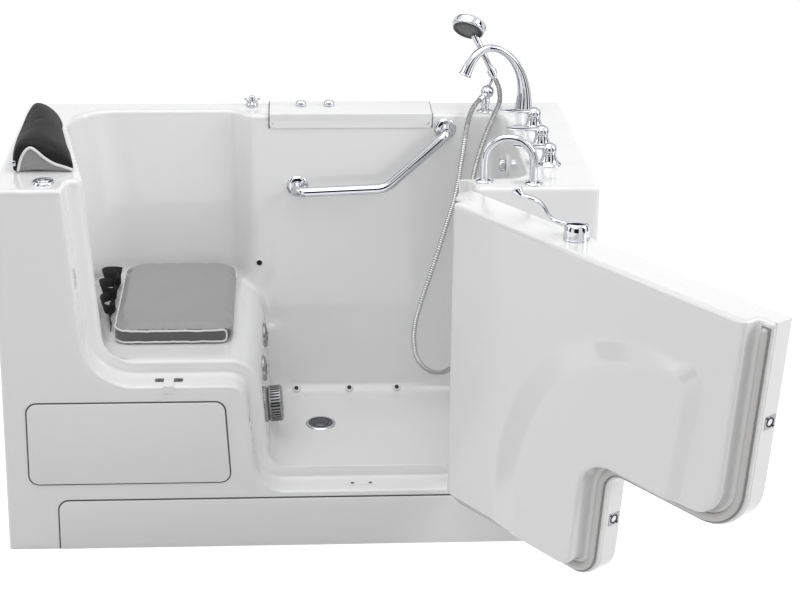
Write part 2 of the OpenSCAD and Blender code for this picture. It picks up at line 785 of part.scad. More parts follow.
module knuckle(z, h, r = knuckle_r) {
    difference() {
        bar_z([axis_x, axis_y, z], r, h);
        bar_z([axis_x, axis_y, z - 1], pin_r + run_gap, h + 2);
    }
}
module tub_hinge_leaves() {
    color("silver") for (z = hinge_z) {
        difference() {
            union() {
                block([open_right - leaf_t, axis_y, z], [open_right, front_y + leaf_d,
                    z + hinge_h]);
                for (k = [0, 2]) bar_z([axis_x, axis_y, z + k * third], knuckle_r, third);
            }
            bar_z([axis_x, axis_y, z - 1], pin_r, hinge_h + 2);
            // room for the door's knuckle and its leaf
            bar_z([axis_x, axis_y, z + third - fit_gap], knuckle_r + 1, third + 2 * fit_gap);
        }
    }
}
module hinge_pins() {
    color("silver") for (z = hinge_z) bar_z([axis_x, axis_y, z - 2], pin_r, hinge_h + 4);
}

// ---- grab bars -------------------------------------------------------------------------

bar_r = bar_d / 2;
bar_bolt_r = 5;
rose_r = rose_d / 2;
bar_y0 = well_back_y - bar_off;
bar_p = [[well_x - 588, bar_y0, tub_h - 212], [well_x - 339, bar_y0, tub_h - 201],
    [well_x - 169, bar_y0, tub_h - 43]];
bar_feet = [for (i = [0, 2]) [bar_p[i][0], well_back_y, bar_p[i][2]]];
module wall_bar() {
    color("silver") {
        rod_path(bar_p, bar_r);
        for (i = [0, 2]) {
            bar_y([bar_p[i][0], bar_y0, bar_p[i][2]], bar_r, bar_off);
            translate(bar_p[i]) sphere(r = bar_r);
        }
        for (p = bar_feet) bar_y([p[0], p[1] - 10, p[2]], bar_bolt_r, 30);
    }
}
deck_bar_feet = [[well_x - 118, front_y + 55], [well_x + 5, front_y + 33]];
deck_bar_r = deck_bar_d / 2;
deck_bar_h = 128;
deck_rose_r = 24;
module deck_bar() {
    a = concat(deck_bar_feet[0], tub_h);
    b = concat(deck_bar_feet[1], tub_h);
    span = norm(b - a);
    turn = atan2(b[1] - a[1], b[0] - a[0]);
    leg = deck_bar_h - span / 2 - deck_bar_r;
    color("silver") {
        translate(a) rotate([0, 0, turn]) {
            cylinder(r = deck_bar_r, h = leg);
            translate([span, 0, 0]) cylinder(r = deck_bar_r, h = leg);
            translate([span / 2, 0, leg]) rotate([90, 0, 0]) rotate_extrude(angle = 180)
                translate([span / 2, 0]) circle(r = deck_bar_r);
        }
        for (p = deck_bar_feet) bar_z([p[0], p[1], tub_h - 24], bar_bolt_r, 30);
    }
}
module rose(r, hole, h) {
    rotate_extrude() polygon([[hole, 0], [r, 0], [r, 2], [r * 0.8, h * 0.7], [hole + 1, h],
        [hole, h]]);
}
module bar_roses() {
    color("silver") {
        for (p = bar_feet) translate(p) rotate([90, 0, 0]) rose(rose_r, bar_r, 9);
        for (p = deck_bar_feet) translate([p[0], p[1], tub_h]) rose(deck_rose_r, deck_bar_r, 8);
    }
}

// ---- taps and hand shower -----------------------------------------------------------------

tap_x = right_x - 107;
tap_y = [back_y - 575, back_y - 421, back_y - 256];
tap_hole_r = 16;
spout_x = right_x - 116;
spout_y = back_y - 91;
outlet_hole_r = 11;
holder_x = right_x - 226;
holder_y = back_y - 91;
stem_r = 8;
// Spout: a tapering arc of round sections, drooping to its nozzle
spout_base_r = 25;
spout_neck_r = 11;
spout_tip_r = 15;
function spout_r(u) = u < 0.65
    ? spout_base_r + (spout_neck_r - spout_base_r) * sin(90 * u / 0.65)
    : spout_neck_r + (spout_tip_r - spout_neck_r) * (u - 0.65) / 0.35;
spout_turn = 14;                              // the arc turns this far to the door side
function spout_pt(u) =
    let (r = spout_reach / 2, rise = spout_h - r)
    u < 0.35 ? [0, 0, rise * u / 0.35] :
    let (a = 180 * (u - 0.35) / 0.65, x = r * cos(a) - r)
    [x * cos(spout_turn), x * sin(spout_turn), rise + (r - spout_neck_r) * sin(a)];
module spout() {
    n = 24;
    foot = [spout_x, spout_y, tub_h];
    color("silver") {
        tube_along([for (i = [0:n]) foot + spout_pt(i / n)], [for (i = [0:n]) spout_r(i / n)],
            32);
        bar_z([spout_x, spout_y, tub_h - 34], tap_hole_r - 1, 36);
    }
}
module tap_roses() {
    color("silver") {
        translate([spout_x, spout_y, tub_h]) rose(37, spout_base_r + 0.5, 7);
        for (y = tap_y) translate([tap_x, y, tub_h]) rotate_extrude() polygon([
            [stem_r + run_gap, 0], [32, 0], [32, 3], [22, 12], [18, 26], [17, 34],
            [stem_r + run_gap, 34]]);
        translate([holder_x, holder_y, tub_h]) rose(26, outlet_hole_r, 8);
    }
}
ferrule_z = tub_h - shell_t - 86;
module tap_valves() {
    valve_z = tub_h - shell_t;
    color("goldenrod") {
        for (y = tap_y) difference() {
            union() {
                bar_z([tap_x, y, valve_z - 12], 24, 12);
                bar_z([tap_x, y, valve_z - 58], 17, 50);
                bar_z([tap_x, y, valve_z - 10], tap_hole_r - 1, 18);
            }
            bar_z([tap_x, y, valve_z - 34], stem_r + run_gap, 60);
        }
        // tee manifold that mixes hot and cold and feeds the spout
        bar_y([tap_x, tap_y[0] - 12, valve_z - 66], 10, tap_y[2] - tap_y[0] + 24);
        for (y = [tap_y[0], tap_y[2]]) bar_z([tap_x, y, ferrule_z], supply_d / 2 + 3.5, 20);
    }
}
supply_foot = 170;
module supply_pipes() {
    color("peru") for (y = [tap_y[0], tap_y[2]])
        bar_z([tap_x, y, supply_foot], supply_d / 2, ferrule_z - supply_foot);
}
// Lever on a turning stem: hub cap and a flattened arm over the foot well
module tap_lever(y) {
    translate([tap_x, y, tub_h]) rotate([0, 0, 180]) {
        translate([0, 0, -22]) cylinder(r = stem_r, h = 62);
        translate([0, 0, 34 + fit_gap]) rotate_extrude() polygon([[0, 0], [19, 0], [20, 6],
            [17, 17], [9, 23], [0, 25]]);
        hull() {
            translate([0, 0, 42]) cylinder(r = 12, h = 10, $fn = 32);
            translate([tap_lever_l - 9, 0, 50]) cylinder(r = 9, h = 6, $fn = 32);
        }
    }
}
module hot_lever() {
    color("silver") tap_lever(tap_y[2]);
}
module diverter_lever() {
    color("silver") tap_lever(tap_y[1]);
}
module cold_lever() {
    color("silver") tap_lever(tap_y[0]);
}
// Holder: post, joint and knob on the deck, an arm up to the cradle, and the hose outlet.
// The cradle leans to the seat, and what is drawn in it has its axis along Z.
cradle_at = [holder_x + 18, holder_y, tub_h + 112];
grip_dir = unit([-0.42, 0.3, 0.86]);
cradle_r = 15;
grip_r = 9.5;
grip_l = 74;
knob_at = [holder_x + 6, holder_y, tub_h + 56];
// Draws along Z, then points it along d from p
module aim(p, d) {
    translate(p) rotate([0, acos(d[2] / norm(d)), atan2(d[1], d[0])]) children();
}
module in_cradle() {
    aim(cradle_at, grip_dir) children();
}
module shower_holder() {
    color("silver") difference() {
        union() {
            bar_z([holder_x, holder_y, tub_h - 24], outlet_hole_r, 24);
            bar_z([holder_x, holder_y, tub_h], outlet_hole_r, 22);
            bar_z([holder_x, holder_y, tub_h + 22], 14, 20);
            translate(knob_at) sphere(r = 20);
            rod(knob_at, cradle_at + [3, 12, 0], 5);
            in_cradle() translate([0, 0, -9]) cylinder(r1 = cradle_r - 2, r2 = cradle_r, h = 18);
        }
        in_cradle() translate([0, 0, -30]) cylinder(r = grip_r + 0.2, h = 70);
        in_cradle() translate([-6.5, 0, -30]) cube([13, 40, 70]);
    }
}
head_r = head_d / 2;
head_turn = [-0.30, -0.42, -0.86];            // the way the nozzles look
head_rise = [-40, -2, 54];                   // from the grip's top to the face's centre
module handset() {
    top = cradle_at + grip_l * grip_dir;
    face = top + head_rise;
    color("silver") {
        in_cradle() {
            translate([0, 0, -20]) cylinder(r1 = hose_d / 2, r2 = grip_r, h = 10);
            translate([0, 0, -10]) cylinder(r = grip_r, h = grip_l + 10);
        }
        translate(top) sphere(r = grip_r + 1);
        rod(top, face - 20 * head_turn, grip_r);
        aim(face, -head_turn) rotate_extrude() polygon([[0, 0], [head_r - 6, 0],
            [head_r - 2, 2], [head_r, 8], [head_r - 5, 20], [22, 33], [0, 36]]);
    }
}
// Elbow on the holder's knob, where the hose gets its water
outlet_dir = unit([-0.65, -0.6, -0.47]);
outlet_l = 38;
module hose_outlet() {
    color("silver") difference() {
        rod(knob_at, knob_at + outlet_l * outlet_dir, hose_d / 2 + 2.5);
        translate(knob_at) sphere(r = 20);
        bar_z([holder_x, holder_y, tub_h + 22], 14, 20);
    }
}
// Hose: from the outlet down into the foot well in one loop and up to the handset,
// measured from the holder's foot
hose_points = [for (p = [[-39, -42, 19], [-48, -54, 2], [-55, -64, -21], [-62, -76, -59],
    [-71, -87, -120], [-81, -95, -188], [-93, -99, -245], [-112, -101, -310],
    [-134, -103, -390], [-158, -105, -470], [-182, -108, -550], [-197, -112, -615],
    [-198, -115, -675], [-187, -118, -718], [-161, -120, -748], [-127, -121, -759],
    [-93, -120, -748], [-68, -117, -718], [-57, -113, -675], [-54, -109, -610],
    [-53, -106, -540], [-52, -103, -440], [-51, -100, -340], [-47, -95, -255],
    [-40, -90, -188], [-30, -84, -138], [-17, -77, -92], [-1, -68, -48], [14, -59, -11],
    [27, -47, 14], [36, -35, 30], [39, -28, 43], [39, -21, 56],
    [37, -15, 70]]) [holder_x, holder_y, tub_h] + p];
hose_start = knob_at + (outlet_l + 2 * fit_gap) * outlet_dir;
hose_end = cradle_at - (20 + fit_gap) * grip_dir;
hose_path = concat([hose_start, hose_start + hose_d * outlet_dir], hose_points,
    [hose_end - hose_d * grip_dir, hose_end]);
hose_sides = 10;
// Catmull-Rom point between path points i and i + 1
function spline(p, i, u) =
    let (n = len(p) - 1, a = p[max(i - 1, 0)], b = p[i], c = p[i + 1], d = p[min(i + 2, n)])
    0.5 * ((2 * b) + (c - a) * u + (2 * a - 5 * b + 4 * c - d) * u * u +
        (3 * b - a - 3 * c + d) * u * u * u);
function smooth_path(p, n) = concat([for (i = [0:len(p) - 2], k = [0:n - 1])
    spline(p, i, k / n)], [p[len(p) - 1]]);
module shower_hose() {
    path = smooth_path(hose_path, 2);
    color("silver") tube_along(path, [for (p = path) hose_d / 2], hose_sides);
}

// ---- cushion and pillow --------------------------------------------------------------------

cushion_x = seat_front_x + cushion_gap;
cushion_y = seat_back_y - 21 - cushion_w;
// Cushion edge: a rectangle with round corners whose sides draw in by dip at the middle
function soft_edge(a, l, w, dip) =
    let (c = cos(a), s = sin(a), e = 0.22, q = abs(c), v = abs(s))
    [sign(c) * pow(q, e) * (l / 2 - dip * (1 - pow(v, 0.6))),
        sign(s) * pow(v, e) * (w / 2 - dip * (1 - pow(q, 0.6)))];
module seat_cushion() {
    n = 48;
    dip = 5;
    // scale and height of each ring, from the flat base over the side to the crown
    levels = concat([[0.985, 0], [1, 4], [0.988, cushion_edge / 2], [1, cushion_edge - 4],
        [0.985, cushion_edge]], [for (k = [1:7]) let (u = 1 - k / 8)
            [0.985 * u, cushion_edge + cushion_crown * (1 - u * u)]]);
    color("gray") translate([cushion_x + cushion_l / 2, cushion_y + cushion_w / 2, seat_z])
        loft([for (g = levels) [for (i = [0:n - 1]) let (e = soft_edge(360 * i / n, cushion_l,
            cushion_w, dip)) [e[0] * g[0], e[1] * g[0], g[1]]]]);
}
// Pillow on the left deck: steep outer side, long slope to the bather. Its foot follows
// the basin edge, so it narrows to the wall.
pillow_x = left_x + 34;
pillow_y = wall_y + 52;
function deck_edge_x(y) = left_x + left_deck_front
    - (left_deck_front - left_deck_back) * (y - wall_y) / (seat_back_y - wall_y);
function pillow_side(u, w, h) =
    let (a = 180 * u, x = w * (0.5 - 0.5 * cos(a)))
    [x - 0.13 * w * sin(a) * sin(a), h * pow(sin(a), 0.75) * (1 - 0.3 * x / w)];
module head_pillow() {
    n = 14;
    m = 10;
    // sections along the pillow, drawn in at both ends
    color("black") loft([for (k = [0:m]) let (v = k / m, y = pillow_y + pillow_l * v,
        s = 0.86 + 0.14 * sqrt(1 - pow(abs(2 * v - 1), 6)),
        w = deck_edge_x(y) - 14 - pillow_x)
        [for (i = [0:n]) let (p = pillow_side(i / n, w, pillow_h * 1.14 * s))
            [pillow_x + p[0], y, tub_h + max(p[1], 0)]]]);
}

// ---- door (drawn closed, then swung open) ------------------------------------------------------

module open_door() {
    translate([axis_x, axis_y, 0]) rotate([0, 0, open_deg]) translate([-axis_x, -axis_y, 0])
        children();
}
panel_y = front_y + outer_d;                  // joint of the two mouldings
plug_y = front_y + door_d;                    // inner face of the door
function door_edge(g = 0, top = tub_h) = opening(-door_gap - g, top);
module door_outer_panel() {
    color("white") open_door() difference() {
        wall_prism(door_edge(), front_y, panel_y);
        wall_prism(door_edge(door_t, tub_h - door_t), front_y + door_t, panel_y + 1);
        bar_z([lever_x, lever_y, tub_h - 20], shaft_r + run_gap, 40);
        for (b = bolts) bolt_place(b) translate([-12, -17 - fit_gap / 2, -17 - fit_gap / 2])
            cube([24, 34 + fit_gap, 34 + fit_gap]);
        // mortises for the hinge leaves
        for (z = hinge_z) block([open_right - door_gap - leaf_t, front_y - 1, z - 1],
            [open_right + 1, front_y + leaf_d + 1, z + hinge_h + 1]);
    }
}
module door_inner_panel() {
    color("white") open_door() difference() {
        union() {
            wall_prism(door_edge(), panel_y, panel_y + door_t);
            wall_prism(door_edge(plug_inset), panel_y, plug_y);
            // raised pad in two steps
            wall_prism(pad_outline(8), plug_y, plug_y + pad_h / 2);
            wall_prism(pad_outline(0), plug_y, plug_y + pad_h);
        }
        difference() {
            wall_prism(door_edge(plug_inset + door_t, tub_h - door_t), panel_y - 1,
                plug_y - door_t);
        }
    }
}
// Raised pad of the inner face, an arch over both parts of the door
function pad_outline(g) = rounded([[open_right - 231 + g, sill_z + 55, 0],
    [open_right - 325 + g, tub_h - 360, 170], [open_right - 505, tub_h - 124 + g, 260],
    [open_left + 118 - g, tub_h - 116 + g, 70], [open_left + 203 - g, ledge_z + 85 - g, 30],
    [riser_x - 37, ledge_z + 85 - g, 60], [riser_x + 98 - g, ledge_z - 33, 60],
    [riser_x + 98 - g, sill_z + 55, 0]]);
module door_gasket() {
    out = 10;
    color("white") open_door() difference() {
        wall_prism(door_edge(out - door_gap), panel_y + door_t, step_y - fit_gap);
        wall_prism(door_edge(out - door_gap + gasket_w, tub_h + 10), panel_y, step_y + 1);
    }
}
lever_x = open_right - door_gap - lever_at;
lever_y = front_y + 36;
shaft_r = 5;
bolts = [[jamb_x(upper_bolt_z) + door_gap / cos(lean), upper_bolt_z],
    [riser_at(lower_bolt_z) + door_gap / cos(lean), lower_bolt_z]];
module bolt_place(b) {
    translate([b[0], bolt_y, b[1]]) rotate([0, -lean, 0]) children();
}
stile = 25;
module door_frame() {
    y0 = front_y + door_t;
    y1 = y0 + stile;
    xr = open_right - door_gap - door_t - leaf_t;
    z_foot = lower_bolt_z - 60;
    x_up = bolts[0][0] + bolt_l + 3;             // the post stands clear of the bolt
    color("slategray") open_door() difference() {
        union() {
            block([xr - stile, y0, sill_z + 60], [xr, y1, tub_h - 30]);
            block([x_up, y0, tub_h - 60], [xr - stile, y1, tub_h - 60 + stile]);
            block([x_up, y1, ledge_z + 70], [x_up + stile, panel_y, tub_h - 60 + stile]);
            block([x_up, y0, ledge_z + 70], [xr - stile, y1, ledge_z + 70 + stile]);
            // foot rail with the bearing of the lock shaft
            block([lever_x - 30, y0, z_foot], [xr - stile, y1, z_foot + stile]);
            block([lever_x - 14, y0, z_foot], [lever_x + 14, lever_y + 14, z_foot + stile]);
        }
        bar_z([lever_x, lever_y, z_foot + 5], shaft_r + run_gap, tub_h);
    }
}
module door_hinge_leaves() {
    x1 = open_right - door_gap;
    color("silver") open_door() for (z = hinge_z) {
        difference() {
            union() {
                block([x1 - leaf_t, axis_y + 3, z], [x1, front_y + leaf_d, z + hinge_h]);
                bar_z([axis_x, axis_y, z + third + fit_gap], knuckle_r, third - 2 * fit_gap);
            }
            bar_z([axis_x, axis_y, z - 1], pin_r + run_gap, hinge_h + 2);
            for (k = [0, 2]) bar_z([axis_x, axis_y, z + k * third - fit_gap],
                knuckle_r + fit_gap, third + 2 * fit_gap);
        }
    }
}
module bolt_housings() {
    color("silver") open_door() for (b = bolts) bolt_place(b) difference() {
        union() {
            translate([0, -17, -17]) cube([30, 34, 34]);
            translate([door_t, -21, -21]) cube([20, 42, 42]);
        }
        bar_x([-1, 0, 0], bolt_r + run_gap, 60);
        for (s = [-1, 1]) translate([-1, s * 12, s * 12]) rotate([0, 90, 0])
            cylinder(r = 2, h = 8);
    }
}
yoke_h = 6;
pull_y = bolt_y - 2.5;                        // middle of the flat bar behind a bolt
pull_rise = 5;                                // the bar lies this far above the bolt's face
bolt_l = 62;
module bolt_bar(b) {
    pin0 = [lever_x + crank_r * cos(45), lever_y + crank_r * sin(45)];
    z = b[1] + pull_rise;
    open_door() {
        bolt_place(b) bar_x([-1, 0, 0], bolt_r, bolt_l);
        block([b[0] + bolt_l - 4, pull_y - 4.5, z - yoke_h / 2],
            [pin0[0] - 17, pull_y + 4.5, z + yoke_h / 2]);
        block([pin0[0] - 27, pull_y - 4.5, z - yoke_h / 2],
            [pin0[0] - 17, pin0[1] + 6, z + yoke_h / 2]);
        difference() {
            block([pin0[0] - 18, lever_y + shaft_r + 0.6, z - yoke_h / 2],
                [pin0[0] + 10, lever_y + crank_r + 10, z + yoke_h / 2]);
            block([pin0[0] - 4.8, lever_y, z - yoke_h],
                [pin0[0] + 4.8, lever_y + crank_r + 4.8, z + yoke_h]);
        }
    }
}
module upper_bolt() {
    color("silver") bolt_bar(bolts[0]);
}
module lower_bolt() {
    color("silver") bolt_bar(bolts[1]);
}
module lock_shaft() {
    color("silver") open_door() {
        bar_z([lever_x, lever_y, lower_bolt_z - 54.5], shaft_r, tub_h - lower_bolt_z + 64.5);
        for (b = bolts) {
            z = b[1] + pull_rise;
            bar_z([lever_x, lever_y, z + yoke_h / 2 + fit_gap], crank_r + 6, 6);
            bar_z([lever_x + crank_r * cos(45), lever_y + crank_r * sin(45), z - 4], 4, 8);
        }
    }
}
module lock_lever() {
    color("silver") open_door() translate([lever_x, lever_y, tub_h]) {
        difference() {
            translate([0, 0, fit_gap]) rotate_extrude() polygon([[0, 0], [31, 0], [31, 6],
                [24, 22], [20, 36], [14, 42], [0, 44]]);
            translate([0, 0, -1]) cylinder(r = shaft_r, h = 11);
        }
        hull() {
            translate([0, 0, 34]) cylinder(r = 12, h = 8, $fn = 32);
            translate([lever_l - 16, 0, 44]) cylinder(r = 16, h = 8, $fn = 32);
        }
    }
}

front_wall();
rim_deck();
seat_shell();
well_shell();
access_panel();
toe_panel();
deck_cover();
base_frame();
upper_frame();
levelling_feet();
waste_trap();
drain_strainer();
drain_stopper();
overflow_plate();
overflow_pipe();
drain_knob();
water_pump();
pump_pipes();
air_blower();
air_pipes();
jet_rings();
jet_nozzle_front();
jet_nozzle_back();
suction_cover();
air_jets();
air_button_ring();
air_button();
air_knob_left();
air_knob_right();
star_handle();
door_catches();
bolt_keepers();
tub_hinge_leaves();
hinge_pins();
wall_bar();
deck_bar();
bar_roses();
spout();
tap_roses();
tap_valves();
supply_pipes();
hot_lever();
diverter_lever();
cold_lever();
shower_holder();
handset();
hose_outlet();
shower_hose();
seat_cushion();
head_pillow();
door_outer_panel();
door_inner_panel();
door_gasket();
door_frame();
door_hinge_leaves();
bolt_housings();
upper_bolt();
lower_bolt();
lock_shaft();
lock_lever();
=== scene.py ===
# Walk-in bathtub: a moulded seat tub with an L-shaped door that stands open, grab bars,
# deck taps with a hand shower, a seat cushion and a head pillow. Metres. X runs along
# the tub from the seat to the taps, Y from the door to the wall, Z up from the floor.
import math

import bmesh
import bpy
from mathutils import Matrix, Vector


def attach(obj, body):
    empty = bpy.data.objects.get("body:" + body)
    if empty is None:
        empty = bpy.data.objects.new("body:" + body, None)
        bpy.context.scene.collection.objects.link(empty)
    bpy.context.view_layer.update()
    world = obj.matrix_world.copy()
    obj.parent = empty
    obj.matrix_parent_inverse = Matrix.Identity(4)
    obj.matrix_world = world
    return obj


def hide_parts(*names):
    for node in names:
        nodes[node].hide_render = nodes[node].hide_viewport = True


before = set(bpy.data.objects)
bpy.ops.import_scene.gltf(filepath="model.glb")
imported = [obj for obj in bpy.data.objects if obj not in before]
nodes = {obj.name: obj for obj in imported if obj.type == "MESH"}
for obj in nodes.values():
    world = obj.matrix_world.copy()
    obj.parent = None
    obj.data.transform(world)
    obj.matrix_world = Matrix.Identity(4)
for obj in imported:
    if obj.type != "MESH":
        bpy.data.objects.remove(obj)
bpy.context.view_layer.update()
scene = bpy.context.scene


# ---- Camera --------------------------------------------------------------------------
# It stands in front of the door side at about two and a half times the tub's height and
# looks down, with a little downward shift that keeps the uprights nearly parallel.
camera_data = bpy.data.cameras.new("studio_camera")
camera = bpy.data.objects.new("studio_camera", camera_data)
scene.collection.objects.link(camera)
SENSOR, FOCAL_PIXELS, PHOTO_PIXELS = 36, 1907.6, 800
camera_data.sensor_width = SENSOR
camera_data.lens = SENSOR * FOCAL_PIXELS / PHOTO_PIXELS
camera_data.shift_y = -0.2
camera_data.clip_end = 200
camera.location = (-0.0333, -4.8912, 2.5730)
camera.rotation_euler = (1.2623, -0.0141, -0.0588)
scene.camera = camera


# ---- Shower hose ---------------------------------------------------------------------
# A spiral-wound metal hose, 14 mm across. It leaves the elbow on the holder, hangs in
# one loop into the foot well and comes up to the handset.
def node_group(name, inputs, outputs):
    """Empty shader group with float or vector sockets, and its two end nodes."""
    group = bpy.data.node_groups.new(name, "ShaderNodeTree")
    for label, kind, value in inputs:
        socket = group.interface.new_socket(label, in_out="INPUT", socket_type=kind)
        if value is not None:
            socket.default_value = value
    for label, kind in outputs:
        group.interface.new_socket(label, in_out="OUTPUT", socket_type=kind)
    return group, group.nodes.new("NodeGroupInput"), group.nodes.new("NodeGroupOutput")


def feed(tree, node, inputs):
    """Sets a node's inputs to values, or links them to other nodes' outputs."""
    for label, value in inputs.items():
        if isinstance(value, bpy.types.NodeSocket):
            tree.links.new(value, node.inputs[label])
        else:
            node.inputs[label].default_value = value


def fresh(tree, kind, inputs=None, operation=None):
    """New shader node with its inputs set or linked."""
    node = tree.nodes.new("ShaderNode" + kind)
    if operation:
        node.operation = operation
    feed(tree, node, inputs or {})
    return node


FLOAT, VECTOR = "NodeSocketFloat", "NodeSocketVector"


def polish_play():
    """Slow drift and fine haze in a polish: roughness, and a height for a faint wave."""
    group, start, end = node_group("polish_play", [
        ("Vector", VECTOR, None), ("Wave", FLOAT, 6.0), ("Haze", FLOAT, 90.0),
        ("Low", FLOAT, 0.08), ("High", FLOAT, 0.2)],
        [("Roughness", FLOAT), ("Height", FLOAT)])
    given = start.outputs
    wave = fresh(group, "TexNoise", {"Vector": given["Vector"], "Scale": given["Wave"],
                                     "Detail": 2})
    haze = fresh(group, "TexNoise", {"Vector": given["Vector"], "Scale": given["Haze"],
                                     "Detail": 6})
    mix = fresh(group, "Math", {0: wave.outputs["Fac"], 1: haze.outputs["Fac"]},
                "MULTIPLY")
    span = fresh(group, "MapRange", {"Value": mix.outputs[0], "From Min": 0.12,
                                     "From Max": 0.4, "To Min": given["Low"],
                                     "To Max": given["High"]})
    feed(group, end, {"Roughness": span.outputs[0], "Height": wave.outputs["Fac"]})
    return group


polish = polish_play()


def played(tree, values):
    """The polish group in a material, in the piece's own space."""
    play = tree.nodes.new("ShaderNodeGroup")
    play.node_tree = polish
    feed(tree, play, {"Vector": fresh(tree, "TexCoord").outputs["Object"], **values})
    return play.outputs


def blank(name):
    material = bpy.data.materials.new(name)
    material.use_nodes = True
    return material


def tuned(material, inputs):
    """Sets or links further inputs of a material's shader."""
    feed(material.node_tree, material.node_tree.nodes["Principled BSDF"], inputs)
    return material


def wire(name, points, radius, sides=4, kind="POLY"):
    """Round wire or tube along points, as a curve object."""
    curve = bpy.data.curves.new(name, "CURVE")
    curve.dimensions = "3D"
    curve.bevel_depth = radius
    curve.bevel_resolution = sides
    curve.use_fill_caps = True
    spline = curve.splines.new(kind)
    spline.use_smooth = True
    if kind == "BEZIER":
        spline.bezier_points.add(len(points) - 1)
        for knot, point in zip(spline.bezier_points, points):
            knot.co = point
            knot.handle_left_type = knot.handle_right_type = "AUTO"
        spline.resolution_u = 8
    else:
        spline.points.add(len(points) - 1)
        for knot, point in zip(spline.points, points):
            knot.co = (*point, 1)
    piece = bpy.data.objects.new(name, curve)
    scene.collection.objects.link(piece)
    return piece


def dress(piece, material, body="tub", stands_for=(), smooth=True):
    """Gives a piece its material, body and finish slot, and the solids it replaces."""
    piece.data.materials.clear()
    piece.data.materials.append(material)
    if smooth and piece.type == "MESH":
        piece.data.shade_smooth()
    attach(piece, body)
    if stands_for:
        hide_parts(*stands_for)
    return piece


HOLDER_KNOB = Vector((0.542, 0.290, 1.056))
CRADLE = Vector((0.554, 0.290, 1.112))
GRIP = Vector((-0.42, 0.3, 0.86)).normalized()
OUTLET = Vector((-0.65, -0.6, -0.47)).normalized()
HOSE_D, HOSE_TURNS = 0.014, 420
ELBOW_LONG, HANDLE_BELOW = 0.0386, 0.0203
hose_exit = HOLDER_KNOB + ELBOW_LONG * OUTLET
hose_in = CRADLE - HANDLE_BELOW * GRIP
hose_points = [Vector(p) / 1000 for p in (
    (497, 248, 1019), (488, 236, 1002), (481, 226, 979), (474, 214, 941), (465, 203, 880),
    (455, 195, 812), (443, 191, 755), (424, 189, 690), (402, 187, 610), (378, 185, 530),
    (354, 182, 450), (339, 178, 385), (338, 175, 325), (349, 172, 282), (375, 170, 252),
    (409, 169, 241), (443, 170, 252), (468, 173, 282), (479, 177, 325), (482, 181, 390),
    (483, 184, 460), (484, 187, 560), (485, 190, 660), (489, 195, 745), (496, 200, 812),
    (506, 206, 862), (519, 213, 908), (535, 222, 952), (550, 231, 989), (563, 243, 1014),
    (572, 255, 1030), (575, 262, 1043), (575, 269, 1056), (573, 275, 1070))]
hose_points = ([hose_exit, hose_exit + HOSE_D * OUTLET] + hose_points
               + [hose_in - HOSE_D * GRIP, hose_in])
hose = wire("spiral_hose", hose_points, HOSE_D / 2, sides=5, kind="BEZIER")

hose_steel = blank("spiral_steel")
tree = hose_steel.node_tree
split = fresh(tree, "SeparateXYZ", {0: fresh(tree, "TexCoord").outputs["UV"]})
winding = fresh(tree, "Math", {0: split.outputs["X"], 1: 2 * math.pi * HOSE_TURNS},
                "MULTIPLY")
wave = fresh(tree, "Math", {0: winding.outputs[0]}, "SINE").outputs[0]
# The base colour runs light and dark with the winding: painted highlight on the crests of
# the spiral and painted shade in its grooves.
rib_highlight_and_shade = fresh(tree, "MapRange", {"Value": wave, "From Min": -1, "To Min": 0.42,
                                "To Max": 0.86}).outputs[0]
grey = fresh(tree, "CombineColor", {"Red": rib_highlight_and_shade, "Green": rib_highlight_and_shade, "Blue": rib_highlight_and_shade})
groove = fresh(tree, "Bump", {"Distance": 0.0008, "Height": wave})
play = played(tree, {"Low": 0.14, "High": 0.3})
tuned(hose_steel, {"Metallic": 1, "Base Color": grey.outputs[0],
                   "Roughness": play["Roughness"], "Normal": groove.outputs["Normal"]})
dress(hose, hose_steel, stands_for=("shower_hose",))


# ---- Moulded tub ---------------------------------------------------------------------
# One glossy white acrylic moulding: apron with the L-shaped doorway, deck, reclined seat
# and foot well, every edge rounded. It is carved from a block, evened out, and opened
# at the back and below so that the steel frame stands free under it.
LEAN_ANGLE = math.radians(5)
LEAN = math.tan(LEAN_ANGLE)
FRONT, BACK, LEFT, RIGHT, DECK = -0.381, 0.381, -0.762, 0.762, 1.0
STEP_Y, WALL_Y, BACK_WALL, RABBET = -0.305, -0.297, 0.254, 0.037
LEDGE_Z, SILL_Z, HINGE_SIDE = 0.463, 0.157, 0.445
SEAT_Z, WELL_FLOOR, WELL_END, ROOM_TOP, COVE_R = 0.5, 0.148, 0.590, 1.05, 0.046


def jamb(z):
    return -0.588 + (DECK - z) * LEAN


def riser(z):
    return -0.138 + (LEDGE_Z - z) * LEAN


def doorway(grow, top=ROOM_TOP):
    """Corners of the doorway, [x, z, radius], grown by that much."""
    s = grow / math.cos(LEAN_ANGLE)
    ledge, sill, hinge = LEDGE_Z - grow, SILL_Z - grow, HINGE_SIDE + grow
    return [(jamb(top) - s, top, 0), (jamb(ledge) - s, ledge, 0.13 + grow),
            (riser(ledge) - s, ledge, 0.045 - grow), (riser(sill) - s, sill, 0.085
                                                      + grow), (hinge, sill, 0.06 + grow),
            (hinge, top, 0)]

def outline(bm, corners, y, steps=10):
    """Face across Y from corners that are rounded to their radii."""
    knots = [bm.verts.new((x, y, z)) for x, z, radius in corners]
    face = bm.faces.new(knots)
    for i, (x, z, radius) in enumerate(corners):
        if radius:
            here = Vector((x, z))
            before = Vector(corners[i - 1][:2]) - here
            after = Vector(corners[(i + 1) % len(corners)][:2]) - here
            bmesh.ops.bevel(bm, geom=[knots[i]], segments=steps, profile=0.5, material=-1,
                            offset=radius / math.tan(before.angle(after) / 2),
                            offset_type="OFFSET", affect="VERTICES")
    return face


def drawn_out(bm, by):
    """Extrudes a bmesh's faces by that much and gives their far corners."""
    grown = bmesh.ops.extrude_face_region(bm, geom=bm.faces[:], use_keep_orig=True)
    far = [g for g in grown["geom"] if isinstance(g, bmesh.types.BMVert)]
    bmesh.ops.translate(bm, verts=far, vec=by)
    return far


